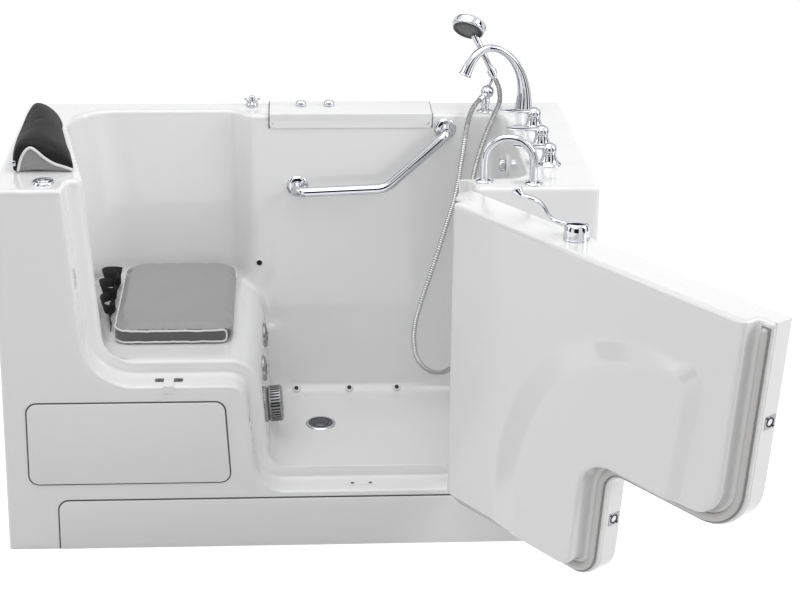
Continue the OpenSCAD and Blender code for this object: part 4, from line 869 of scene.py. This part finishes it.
# ---- Seat cushion --------------------------------------------------------------------
# A loose box pad of grey vinyl over foam, tight and lightly crowned. A darker band runs
# along its front, edged in white cord that goes on round the left and the back.
def swollen(name, bm, cell, cap):
    """Padded form: evened out, then blown up as cloth and held to a small movement."""
    pad = put(name, bm)
    even(pad, cell, 3)
    rest = [v.co.copy() for v in pad.data.vertices]
    cloth = pad.modifiers.new("cloth", "CLOTH")
    cloth.settings.use_pressure = True
    cloth.settings.uniform_pressure_force = 4
    cloth.settings.effector_weights.gravity = 0
    cloth.point_cache.frame_start, cloth.point_cache.frame_end = 1, 20
    for step in range(1, 21):
        scene.frame_set(step)
    pad = settled(pad)
    scene.frame_set(1)
    for v, home in zip(pad.data.vertices, rest):
        for axis in range(3):
            low, high = home[axis] - cap[axis], home[axis] + cap[axis]
            v.co[axis] = min(max(v.co[axis], low), high)
    smaller = pad.modifiers.new("finer", "SUBSURF")
    smaller.levels = smaller.render_levels = 1
    return settled(pad)


CORNER_R, CROWN = 0.042, 0.013
low, top = Vector((-0.4963, -0.205, SEAT_Z)), Vector((-0.1663, 0.283, 0.5575))
box = block(low + Vector((0.004, 0.005, 0)), top - Vector((0.004, 0.005, CROWN)))
round_edges(box, lambda a, b: abs(a.z - b.z) > 0.02, 0.040, 8)
round_edges(box, lambda a, b: min(a.z, b.z) > 0.53, 0.007, 4)
round_edges(box, lambda a, b: max(a.z, b.z) < 0.501, 0.006, 3)
cushion = swollen("seat_pad", box, 0.005, (0.004, 0.004, 0.012))
for v in cushion.data.vertices:
    v.co.z = max(v.co.z, SEAT_Z + 0.0004)


def vinyl(name, colour, low=0.34, high=0.5):
    """Padded vinyl: fine leather grain and slow creases, a little sheen."""
    material = finish_of(name, colour, low=low, high=high, wave=9.0, haze=260.0)
    tree = material.node_tree
    place = fresh(tree, "TexCoord").outputs["Object"]
    cells = fresh(tree, "TexVoronoi", {"Vector": place, "Scale": 900.0})
    folds = fresh(tree, "TexNoise", {"Vector": place, "Scale": 11.0, "Detail": 3})
    slow = fresh(tree, "Bump", {"Height": folds.outputs["Fac"], "Distance": 0.0022,
                                "Strength": 0.5})
    fine = fresh(tree, "Bump", {"Height": cells.outputs["Distance"], "Distance": 0.00012,
                                "Normal": slow.outputs["Normal"]})
    return tuned(material, {"Normal": fine.outputs["Normal"], "Sheen Weight": 0.12})


grey_vinyl = vinyl("grey_vinyl", 0.33)
band_vinyl = vinyl("dark_grey_vinyl", 0.105)
white_cord = finish_of("white_piping", (0.80, 0.80, 0.79), low=0.35, high=0.5, haze=400.0)
dress(cushion, grey_vinyl, stands_for=("seat_cushion",))
cushion.data.materials.append(band_vinyl)
BAND_TOP, BAND_LOW, PIPING_COVER = 0.5440, 0.5035, 0.0024
BAND_HALF, BAND_MID = (BAND_TOP - BAND_LOW) / 2, (BAND_TOP + BAND_LOW) / 2
BAND_END, END_LONG = top.x - 0.012, 0.022
for face in cushion.data.polygons:
    centre = face.center
    into_end = 1 - min(1, max(0, (BAND_END - centre.x) / END_LONG))
    reach = (BAND_HALF - PIPING_COVER) * math.sqrt(1 - into_end ** 2)
    if (min(face.normal.x + 0.1, face.normal.y) < -0.2 and centre.y < low.y + 0.045
            and abs(centre.z - BAND_MID) < reach):
        face.material_index = 1


def laid_on(piece, points, lift):
    """Moves points to a piece's skin, and that much out of it."""
    found = []
    for point in points:
        where, normal = piece.closest_point_on_mesh(point)[1:3]
        found.append(where + lift * normal)
    return found


def straight(start, end, count):
    """Points along a straight run."""
    return [Vector(start).lerp(Vector(end), i / (count - 1)) for i in range(count)]


def corner(x, y, start, turn, z, first=1):
    """Points round a corner of the pad, from an angle on in steps of a small turn."""
    return [Vector((x + CORNER_R * math.cos(start + turn * i),
                    y + CORNER_R * math.sin(start + turn * i), z))
            for i in range(first, 12)]


left, right, near, far = (low.x + CORNER_R, top.x - CORNER_R, low.y + CORNER_R,
                          top.y - CORNER_R)
bend, band_stop = math.radians(7.5), top.x - 0.028
edge = corner(left, near, math.pi, bend, BAND_LOW, 0)
edge += straight((left, low.y, BAND_LOW), (band_stop, low.y, BAND_LOW), 46)
edge += [Vector((band_stop + 0.016 * math.sin(math.pi * i / 13), low.y,
                 BAND_MID - BAND_HALF * math.cos(math.pi * i / 13)))
         for i in range(1, 13)]
edge += straight((band_stop, low.y, BAND_TOP), (left, low.y, BAND_TOP), 46)
edge += corner(left, near, -math.pi / 2, -bend, BAND_TOP)
edge += straight((low.x, near, BAND_TOP), (low.x, far, BAND_TOP), 61)
edge += corner(left, far, math.pi, -bend, BAND_TOP)
edge += straight((left, top.y, BAND_TOP), (right, top.y, BAND_TOP), 46)
edge += corner(right, far, math.pi / 2, -bend, BAND_TOP)
edge += straight((top.x, far, BAND_TOP), (top.x, far - 0.048, BAND_TOP - 0.012), 5)
piping = settled(wire("cushion_piping", laid_on(cushion, edge, 0.0008), 0.0026, sides=3))
dress(piping, white_cord)

webbing = finish_of("black_webbing", (0.012, 0.012, 0.013), low=0.5, high=0.7, haze=500.0)
strap_runs = (
    [(-0.505, 0.270, 0.524), (-0.524, 0.246, 0.536), (-0.548, 0.205, 0.548),
     (-0.538, 0.168, 0.552), (-0.514, 0.186, 0.540), (-0.508, 0.215, 0.530)],
    [(-0.506, 0.196, 0.522), (-0.530, 0.160, 0.535), (-0.549, 0.112, 0.550),
     (-0.534, 0.074, 0.546), (-0.513, 0.096, 0.532), (-0.509, 0.130, 0.524)],
    [(-0.506, 0.110, 0.520), (-0.526, 0.070, 0.530), (-0.539, 0.020, 0.538),
     (-0.522, -0.018, 0.530), (-0.509, 0.004, 0.520), (-0.505, 0.040, 0.516)],
    [(-0.505, 0.240, 0.515), (-0.516, 0.160, 0.512), (-0.513, 0.070, 0.513),
     (-0.516, -0.020, 0.512), (-0.507, -0.080, 0.513), (-0.503, -0.110, 0.514)])
straps = []
for points in strap_runs:
    band = wire("strap", points, 0.0009, sides=2, kind="BEZIER")
    band.data.extrude = 0.0125
    band.data.twist_mode = "Z_UP"
    for knot, tilt in zip(band.data.splines[0].bezier_points, (0, 12, 18, 12, 0, -8)):
        knot.tilt = math.radians(tilt)
    straps.append(lifted(settled(band)))
fitting("cushion_straps", gathered(straps), webbing)


# ---- Head pillow ---------------------------------------------------------------------
# Black wedge on the left deck: steep outside, long slope to the bather. Its front end
# is a grey panel set in thick white cord.
PILLOW_X, PILLOW_NEAR, PILLOW_LONG, PILLOW_TALL = -0.728, -0.245, 0.370, 0.1026
ROOM_EDGE, EDGE_SWING, EDGE_LONG, EDGE_GAP = -0.543, 0.115, 0.601, 0.014
PANEL_TALL = 0.088


def pillow_wide(y):
    """Width of the pillow at a place along the deck, up to the edge of the seat room."""
    return ROOM_EDGE - EDGE_SWING * (y - WALL_Y) / EDGE_LONG - EDGE_GAP - PILLOW_X


def pillow_section(along, shrink, count=30):
    """Upper outline of the pillow at a place along it, as points from left to right."""
    y = PILLOW_NEAR + PILLOW_LONG * along
    wide = pillow_wide(y)
    tall = PILLOW_TALL * (0.86 + 0.14 * math.sqrt(1 - abs(2 * along - 1) ** 6)) - shrink
    points = []
    for i in range(count + 1):
        angle = math.pi * i / count
        x = wide * (0.5 - 0.5 * math.cos(angle))
        height = tall * math.sin(angle) ** 0.75 * (1 - 0.3 * x / wide)
        x += -0.13 * wide * math.sin(angle) ** 2
        x = shrink + x * (wide - 2 * shrink) / wide
        points.append(Vector((PILLOW_X + x, y, DECK + max(height, 0.0005))))
    return points


wedge = bmesh.new()
rows = [[wedge.verts.new(p) for p in pillow_section(0.008 + 0.984 * k / 20, 0.002)]
        for k in range(21)]
for near, far in zip(rows, rows[1:]):
    for i in range(len(near)):
        j = (i + 1) % len(near)
        wedge.faces.new((near[i], near[j], far[j], far[i]))
wedge.faces.new(rows[0])
wedge.faces.new(rows[-1])
bmesh.ops.recalc_face_normals(wedge, faces=wedge.faces[:])
pillow = swollen("pillow_pad", wedge, 0.005, (0.003, 0.002, 0.004))
for v in pillow.data.vertices:
    v.co.z = max(v.co.z, DECK + 0.0004)
black_vinyl = tuned(vinyl("black_vinyl", (0.009, 0.009, 0.010), 0.5, 0.62),
                    {"Sheen Weight": 0, "Specular IOR Level": 0.25})
end_vinyl = vinyl("grey_end_vinyl", 0.3)
dress(pillow, black_vinyl, stands_for=("head_pillow",))
pillow.data.materials.append(end_vinyl)
FIN = [(0.10, 0.0), (0.13, 0.30), (0.20, 0.60), (0.30, 0.78), (0.40, 0.66), (0.52, 0.44),
       (0.66, 0.27), (0.82, 0.15), (0.97, 0.05)]
fin_wide = pillow_wide(PILLOW_NEAR)


def fin_height(x):
    """Height of the grey end panel at a place across the pillow, both as shares."""
    for (x_a, z_a), (x_b, z_b) in zip(FIN, FIN[1:]):
        if x_a <= x <= x_b:
            return z_a + (z_b - z_a) * (x - x_a) / (x_b - x_a)
    return 0.0


for face in pillow.data.polygons:
    x = (face.center.x - PILLOW_X) / fin_wide
    if (face.center.y < PILLOW_NEAR + 0.030 and face.normal.y < -0.3
            and face.center.z - DECK < PANEL_TALL * fin_height(x)):
        face.material_index = 1
rim_line = [Vector((PILLOW_X + fin_wide * x, PILLOW_NEAR, DECK + 0.002 + PANEL_TALL * z))
            for x, z in FIN]
cord_line = laid_on(pillow, eased(rim_line, 0.012, 5), 0.0012)
end_cord = settled(wire("pillow_piping", cord_line, 0.0036, sides=4))
dress(end_cord, white_cord)
clip = block((-0.7305, -0.249, 1.020), (-0.7165, -0.243, 1.034))
round_edges(clip, lambda a, b: True, 0.0016, 3)
fitting("pillow_clip", clip, chrome)


# ---- Deck fittings -------------------------------------------------------------------
# Lid over the pipes behind the wall bar, two turning air controls on it, a five-armed
# diverter beside it and the air push button in its ring by the door.
LID_LEFT, LID_LONG, LID_NEAR, LID_FAR, LID_LIP, LID_UP = (-0.076, 0.458, 0.250, 0.375,
                                                          -0.038, 0.004)
lid = bmesh.new()
lid.faces.new([lid.verts.new((LID_LEFT, y, DECK + z)) for y, z in (
    (LID_NEAR, LID_LIP), (BACK_WALL, LID_LIP), (BACK_WALL, 0.0004), (LID_FAR, 0.0004),
    (LID_FAR, LID_UP), (LID_NEAR, LID_UP))])
drawn_out(lid, (LID_LONG, 0, 0))
bmesh.ops.recalc_face_normals(lid, faces=lid.faces[:])
round_edges(lid, lambda a, b: abs(a.y - b.y) > 0.003 and max(a.z, b.z) < DECK - 0.03,
            0.010, 5)
round_edges(lid, lambda a, b: max(a.y, b.y) < LID_NEAR + 2e-4
            and min(a.z, b.z) > DECK + 0.003, 0.0022, 3)
fitting("deck_lid", lid, acrylic, stands_for=("deck_cover",))
# Near-black strips at the lid's two ends paint the shade in the gaps there; the same
# black paints the gaps round the apron panels.
lid_seal = gathered([block((-0.0788, 0.2515, DECK - 0.0385),
                           (-0.0755, 0.3775, DECK + 0.003)),
                     block((0.3815, 0.2515, DECK - 0.0385),
                           (0.3845, 0.3775, DECK + 0.0012))])
gap_shade_paint = finish_of("seam_seal", 0.07, low=0.5, high=0.7, haze=400.0)
dress(put("lid_seal", lid_seal), gap_shade_paint, smooth=False)
small_screws = [aimed(turned([(0, 0), (3.2, 0), (3, 0.8), (0, 1.2)], 20, 0.5),
                      (x, 0.2502, DECK - 0.026), (0, -1, 0)) for x in (-0.066, 0.372)]
fitting("lid_screws", gathered(small_screws), chrome)

AIR_KNOB_Y, STAR_FOOT = 0.332, Vector((-0.126, 0.346, DECK))
for name, x in (("air_knob_left", 0.013), ("air_knob_right", 0.093)):
    cap = turned([(0, -4), (6.8, -4), (6.8, 0.6), (15, 0.6), (15.2, 8.5), (13.8, 12.5),
                  (10.8, 15.5), (10.2, 14.5), (0, 14.5)], 40, 1.2, 3)
    pointer = block((-0.0009, -0.0125, 0.0130), (0.0009, 0.0, 0.0152))
    piece = put(name + "_cap", moved(gathered([cap, pointer]),
                                     (x, AIR_KNOB_Y, DECK + LID_UP)))
    dress(smooth_by_angle(piece), chrome, name, (name,))

star = [turned([(0, -4), (6.8, -4), (6.8, 0.4), (17, 0.4), (17.2, 6), (15, 10.5),
                (9.5, 13), (8.8, 24), (8, 28.5), (5, 31.2), (0, 31.8)], 36, 1.5, 3)]
for k in range(5):
    angle = math.pi / 2 + 2 * math.pi * k / 5
    out = Vector((math.cos(angle), math.sin(angle), 0))
    star.append(aimed(turned([(0, 0), (4.6, 0), (3.6, 10), (4, 16), (5.5, 19.5),
                              (4.8, 23.5), (2.2, 24.8), (0, 25)], 18, 2, 3),
                      Vector((0, 0, 0.02)), out))
diverter = moved(gathered(star), STAR_FOOT)
fitting("star_diverter", diverter, chrome, "star_handle", ("star_handle",))

BUTTON = Vector((-0.639, -0.322, DECK))
ring = turned([(17.2, -4), (28, -0.8), (28.2, 2.5), (25.5, 6.8), (21.5, 7.5), (18.8, 6),
               (17.2, 3.5), (17.2, -4)], 56, 1.5)
fitting("air_button_bezel", moved(ring, BUTTON), chrome,
        stands_for=("air_button_ring",))
push = turned([(0, -10), (16.9, -10), (16.9, 7), (15, 10), (9, 9.2), (6, 10.8),
               (0, 11.4)], 48, 1.6)
fitting("air_push", moved(push, BUTTON), chrome, "air_button",
        ("air_button",))


# ---- Well fittings -------------------------------------------------------------------
# Waste strainer in the floor, overflow plate and its ribbed turning knob, two pivoting
# jets and the slotted suction cover in the riser, and small air jets in the cove.
def on_riser(bm, y, z):
    """Sets what was drawn along Z on the leaning riser."""
    return moved(rotated(bm, math.pi / 2 - LEAN_ANGLE, "Y"), (riser(z) + RABBET, y, z))


DRAIN = Vector((0.065, 0.038, WELL_FLOOR))
sink = turned([(24.5, -12), (24.5, 2.2), (30, 3.6), (39.5, 3.2), (42.8, 0.6),
               (42.8, -0.6), (40, -1), (26, -12), (24.5, -12)], 56, 1.2, 3)
bars = [block((-0.0245, -0.0018, -0.011), (0.0245, 0.0018, -0.006)),
        block((-0.0018, -0.0245, -0.011), (0.0018, 0.0245, -0.006))]
waste = moved(gathered([sink] + bars), DRAIN)
fitting("waste_strainer", waste, chrome, stands_for=("drain_strainer",))
inlay = turned([(25, 1), (25, 3.6), (33, 4.4), (35.2, 3.6), (35.2, 1), (25, 1)], 56, 0.6,
               3)
drain_grey = finish_of("drain_grey", (0.13, 0.13, 0.135), 0.8, low=0.22, high=0.36)
fitting("waste_inlay", moved(inlay, DRAIN), drain_grey)
plug_cap = turned([(0, -30), (2.9, -30), (2.9, -1), (22.2, -1), (23.6, 1), (23.4, 3.4),
                   (18, 6), (12, 6.6), (0, 7)], 48, 1.2, 3)
fitting("waste_plug", moved(plug_cap, DRAIN), drain_grey, "drain_stopper",
        ("drain_stopper",))

OVERFLOW = Vector((WELL_END, 0.159, 0.880))
escutcheon = turned([(0, 0), (33.8, 0), (33.8, 2.2), (30, 5), (23, 5.8), (0, 5.8)], 56,
                    1.5, 3)
fitting("overflow_escutcheon", aimed(escutcheon, OVERFLOW, (-1, 0, 0)), acrylic,
        stands_for=("overflow_plate",))
ribs = [turned([(0, -12), (7.8, -12), (7.8, 0.3), (15, 0.3), (17.2, 4), (17.2, 14),
                (14, 18), (0, 19)], 40, 1.5, 3)]
for k in range(12):
    rib = moved(block((-0.0016, -0.0012, 0.004), (0.0016, 0.0022, 0.0142)),
                (0, 0.0165, 0))
    ribs.append(rotated(rib, 2 * math.pi * k / 12))
knob = aimed(gathered(ribs), OVERFLOW + Vector((-0.0062, 0, 0)), (-1, 0, 0))
fitting("overflow_turn", knob, chrome, "drain_knob", ("drain_knob",))

JET_Z, JETS = 0.378, {"jet_nozzle_front": -0.085, "jet_nozzle_back": 0.140}
bezels = [on_riser(turned([(18.1, -4), (18.1, 4.5), (22, 7.8), (30, 7.8), (34.8, 3),
                           (35, -0.6), (30, -2), (18.1, -4)], 56, 1.4, 3), y, JET_Z)
          for y in JETS.values()]
jet_grey = finish_of("jet_grey", (0.36, 0.36, 0.37), 0.9, low=0.14, high=0.26)
fitting("jet_bezels", gathered(bezels), jet_grey,
        stands_for=("jet_rings",))
for name, y in JETS.items():
    eye = turned([(6.2, -14), (6.2, 3.2), (8.5, 6.8), (14, 8.8), (17.8, 4), (17.8, -6),
                  (6.2, -14)], 48, 1.4, 3)
    fins = [rotated(block((-0.0006, 0.0070, 0.0030), (0.0006, 0.0150, 0.0096)),
                    2 * math.pi * k / 3) for k in range(3)]
    fitting(name + "_eye", on_riser(gathered([eye] + fins), y, JET_Z), drain_grey, name,
            (name,))

SUCTION_Y, SUCTION_Z, SLOTS = -0.032, 0.245, 36
drum = turned([(0, 0), (44, 0), (50, 4), (50, 36), (45, 40), (20, 41.2), (0, 42)], 72, 2,
              3)
suction = put("suction_drum", drum)
carve(suction, gathered([
    rotated(block((0.0450, -0.0021, 0.0085), (0.0540, 0.0021, 0.0335)),
            2 * math.pi * (k + 0.5) / SLOTS) for k in range(SLOTS)]))
reworked(suction, lambda bm: on_riser(bm, SUCTION_Y, SUCTION_Z))
mesh_grey = finish_of("suction_mesh_grey", (0.34, 0.34, 0.345), 0.7, low=0.25, high=0.4)
dress(smooth_by_angle(suction), mesh_grey, stands_for=("suction_cover",))
# A black drum inside the cover paints the shade seen through its slots.
hollow = on_riser(turned([(0, 8), (46.2, 8), (46.2, 34), (0, 34)], 48), SUCTION_Y,
                  SUCTION_Z)
fitting("suction_inside_painted_shade", hollow, black_steel_and_hole_shade)

cove = (math.sqrt((COVE_R * math.cos(math.radians(9))) ** 2 - 0.012 ** 2)
        * math.sin(math.radians(45)))
COVE_JETS = [(x, BACK_WALL - COVE_R + cove, WELL_FLOOR + COVE_R - cove)
             for x in (-0.003, 0.153, 0.293)]
WALL_JET, UP_OUT, OUT = (-0.108, BACK_WALL, 0.556), (0, -1, 1), (0, -1, 0)
eye = [(0, 0), (11.9, 0), (11.9, 2.6), (10, 4.4), (5, 4.8), (3.2, 3), (0, 3)]
# The black pits in the middle of the jet eyes paint the shade in the jets' holes.
pit = [(0, 3), (6.6, 3), (6.2, 5.3), (0, 5.6)]
small_eye = [(0, 0), (7.9, 0), (7.9, 2.2), (6, 3.8), (2.5, 2.8), (0, 2.8)]
small_pit = [(0, 2.4), (5, 2.4), (4.6, 4.4), (0, 4.6)]
dots = [aimed(turned(eye, 28, 0.9, 3), at, UP_OUT) for at in COVE_JETS]
pits = [aimed(turned(pit, 20), at, UP_OUT) for at in COVE_JETS]
BESIDE_JET, SMALL_JET_Z = 0.046, 0.370
for y in JETS.values():
    dots.append(on_riser(turned(small_eye, 24, 0.8, 3), y + BESIDE_JET, SMALL_JET_Z))
    pits.append(on_riser(turned(small_pit, 18), y + BESIDE_JET, SMALL_JET_Z))
dots.append(aimed(turned([(p[0], p[1] * 0.8) for p in eye], 28, 0.9, 3), WALL_JET, OUT))
pits.append(aimed(turned([(0, 2.4), (8.5, 2.4), (8, 4.4), (0, 4.7)], 22), WALL_JET, OUT))
eye_white = finish_of("jet_white", 0.82, low=0.16, high=0.28)
fitting("air_jet_eyes", gathered(dots), eye_white,
        stands_for=("air_jets",))
# Painted shade in the jet holes.
fitting("air_jet_pits", gathered(pits), black_steel_and_hole_shade)


# ---- Panels on the apron -------------------------------------------------------------
# Thin removable panels of white acrylic with eased edges, each over a dark strip whose
# border
# paints the shade in the gap round it: a low one along the floor and one under the seat.
low_panel = [(-0.627, 0.0006, 0), (-0.627, 0.139, 0.026), (0.700, 0.139, 0.026),
             (0.700, 0.0006, 0)]
side_panel = [(-0.700, 0.190, 0.026), (-0.700, 0.418, 0.026), (-0.193, 0.418, 0.026),
              (-0.179, 0.190, 0.026)]
panel_white = finish_of("white_panel", (0.88, 0.88, 0.882), low=0.12, high=0.24, wave=4.0,
                        haze=160.0)
for name, corners, node in (("toe_board", low_panel, "toe_panel"),
                            ("access_board", side_panel, "access_panel")):
    middle_x = sum(c[0] for c in corners) / 4
    middle_z = sum(c[1] for c in corners) / 4
    # A near-black strip a little larger than the board paints the shade in the gap round
    # it.
    gap_shade = plate([(x + math.copysign(0.0036, x - middle_x),
                   max(0.0006, z + math.copysign(0.0036, z - middle_z)),
                   r + 0.003 if r else 0) for x, z, r in corners],
                 FRONT - 0.0012, FRONT + 0.0004, 8)
    dress(put(name + "_seal", gap_shade), gap_shade_paint, smooth=False)
    board = plate(corners, FRONT - 0.004, FRONT, 8)
    round_edges(board, lambda a, b: max(a.y, b.y) < FRONT - 0.0039, 0.0018, 3)
    fitting(name, board, panel_white, stands_for=(node,))


# ---- Door catches --------------------------------------------------------------------
# Small plates with two screws each: a dark one on the ledge under a white keep with a
# hook over the apron, and a white one on the sill.
catches, latch = [], []
CATCH_Y, BASE_HALF, KEEP_HALF, KEEP_OUT = FRONT + 0.040, 0.036, 0.013, FRONT - 0.0035
for x, z in ((-0.336, LEDGE_Z), (0.166, SILL_Z)):
    base = block((x - BASE_HALF, CATCH_Y - 0.009, z),
                 (x + BASE_HALF, CATCH_Y + 0.009, z + 0.0016))
    round_edges(base, lambda a, b: abs(a.z - b.z) > 0.001, 0.004, 3)
    if z == LEDGE_Z:
        keep = block((x - KEEP_HALF, KEEP_OUT, z + 0.0004),
                     (x + KEEP_HALF, CATCH_Y + 0.006, z + 0.0040))
        hook = block((x - KEEP_HALF, KEEP_OUT, z - 0.020),
                     (x + KEEP_HALF, FRONT, z + 0.0030))
        for part in (keep, hook):
            round_edges(part, lambda a, b: True, 0.0012, 3)
        catches.append(base)
        latch += [keep, hook]
    else:
        latch.append(base)
    for side in (-0.024, 0.024):
        catches.append(moved(turned([(0, 0), (5, 0), (4.8, 2.6), (0, 3.4)], 24, 1),
                             (x + side, CATCH_Y, z)))
stainless = finish_of("stainless_fittings", (0.62, 0.62, 0.63), 1.0, low=0.18, high=0.32,
                      wave=8.0, haze=300.0)
fitting("door_catch_plates", gathered(catches), drain_grey,
        stands_for=("door_catches",))
fitting("ledge_latch", gathered(latch), panel_white)


# ---- Finishes of the parts that are drawn as they are --------------------------------
# Hidden and plain parts keep their shape and only get a finish: steel frame, rubber feet,
# pump and blower, plastic and copper pipes, brass valves, hinges, bolts and keepers.
tube_steel = finish_of("satin_tube", (0.56, 0.57, 0.58), 1.0, low=0.28, high=0.45,
                       wave=7.0, haze=420.0, relief=0.0002)
foot_rubber = finish_of("black_rubber", 0.03, low=0.55, high=0.75, haze=500.0)
pipe_plastic = finish_of("white_pipe", (0.72, 0.72, 0.70), low=0.3, high=0.42, haze=200.0)
housing = finish_of("black_housing", (0.03, 0.03, 0.032), low=0.36, high=0.55, haze=600.0,
                    relief=0.0004)
brass = finish_of("cast_brass", (0.72, 0.53, 0.24), 1.0, low=0.22, high=0.42, haze=240.0,
                  relief=0.0003)
copper = finish_of("drawn_copper", (0.72, 0.38, 0.24), 1.0, low=0.16, high=0.34,
                   wave=10.0, haze=160.0)
for names, material in (
        (("base_frame", "upper_frame", "door_frame"), tube_steel),
        (("levelling_feet",), foot_rubber),
        (("waste_trap", "overflow_pipe", "pump_pipes", "air_pipes"), pipe_plastic),
        (("water_pump", "air_blower"), housing), (("tap_valves",), brass),
        (("supply_pipes",), copper),
        (("bolt_keepers", "tub_hinge_leaves", "door_hinge_leaves", "hinge_pins",
          "upper_bolt", "lower_bolt", "lock_shaft"), stainless)):
    for name in names:
        data = nodes[name].data
        data.materials.clear()
        data.materials.append(material)


# ---- Stage ---------------------------------------------------------------------------
# White floor and backdrop that run out of sight, soft light from above and both sides,
# and dark cards that only polished metal sees, for the black streaks in the chrome.
def ray_test(tree, labels):
    """Value that is one for these kinds of ray, and otherwise zero."""
    path = fresh(tree, "LightPath").outputs
    found = path[labels[0]]
    for label in labels[1:]:
        found = fresh(tree, "Math", {0: found, 1: path[label]}, "MAXIMUM").outputs[0]
    return found


SEEN = ("Is Camera Ray", "Is Glossy Ray", "Is Transmission Ray")
bm = bmesh.new()
bmesh.ops.create_grid(bm, x_segments=1, y_segments=1, size=40)
floor = put("studio_floor", bm)
floor_paint = blank("studio_floor")
tree = floor_paint.node_tree
tree.nodes.clear()
paint = fresh(tree, "BsdfDiffuse", {"Color": (0.6, 0.6, 0.6, 1)})
strength = fresh(tree, "Math", {0: ray_test(tree, SEEN), 1: 0.72}, "MULTIPLY")
glow = fresh(tree, "Emission", {"Strength": strength.outputs[0]})
both = fresh(tree, "AddShader", {0: paint.outputs[0], 1: glow.outputs[0]})
fresh(tree, "OutputMaterial", {"Surface": both.outputs[0]})
floor.data.materials.append(floor_paint)

world = bpy.data.worlds.new("studio")
scene.world = world
world.use_nodes = True
tree = world.node_tree
tree.nodes.clear()
light, backdrop = [fresh(tree, "Background", {"Color": (1, 1, 1, 1), "Strength": power})
                   for power in (0.42, 1)]
mix = fresh(tree, "MixShader", {0: ray_test(tree, SEEN), 1: light.outputs[0],
                                2: backdrop.outputs[0]})
fresh(tree, "OutputWorld", {0: mix.outputs[0]})


def softbox(name, place, aim, size, power):
    lamp = bpy.data.lights.new(name, "AREA")
    lamp.shape, lamp.size, lamp.energy = "SQUARE", size, power
    holder = bpy.data.objects.new(name, lamp)
    scene.collection.objects.link(holder)
    holder.location = place
    turn = (Vector(aim) - Vector(place)).to_track_quat("-Z", "Y")
    holder.rotation_euler = turn.to_euler()


softbox("overhead_softbox", (-0.2, -0.5, 4.0), (0, 0, 0.5), 3.4, 48)
softbox("front_softbox", (-0.6, -5.6, 4.4), (0, 0, 0.5), 3.0, 42)
softbox("left_softbox", (-4.2, -0.4, 2.4), (0, 0, 0.6), 2.4, 38)
softbox("right_softbox", (4.0, -1.4, 3.0), (0, 0, 0.6), 2.4, 84)

card_black = tuned(blank("card_black"), {"Base Color": (0.01, 0.01, 0.01, 1),
                                         "Roughness": 1})
for k, (angle, reach, wide, low_z, top_z) in enumerate((
        (-90, 4.3, 2.8, 0.05, 3.3), (-36, 3.7, 1.3, 0.1, 3.6), (-143, 3.7, 1.3, 0.1, 3.6),
        (2, 3.6, 0.9, 0.1, 2.8), (178, 3.6, 0.9, 0.1, 2.8), (44, 3.8, 0.8, 0.1, 2.4),
        (138, 3.8, 0.8, 0.1, 2.4), (90, 3.2, 6.0, 3.0, 4.6))):
    around = math.radians(angle)
    card = rotated(block((-wide / 2, -0.01, low_z), (wide / 2, 0.01, top_z)),
                   around + math.pi / 2)
    card = put("dark_card_%d" % k,
               moved(card, (reach * math.cos(around), reach * math.sin(around), 0)))
    card.data.materials.append(card_black)
    card.visible_camera = card.visible_diffuse = card.visible_shadow = False
    card.visible_transmission = card.visible_volume_scatter = False
scene.view_settings.view_transform = "Standard"
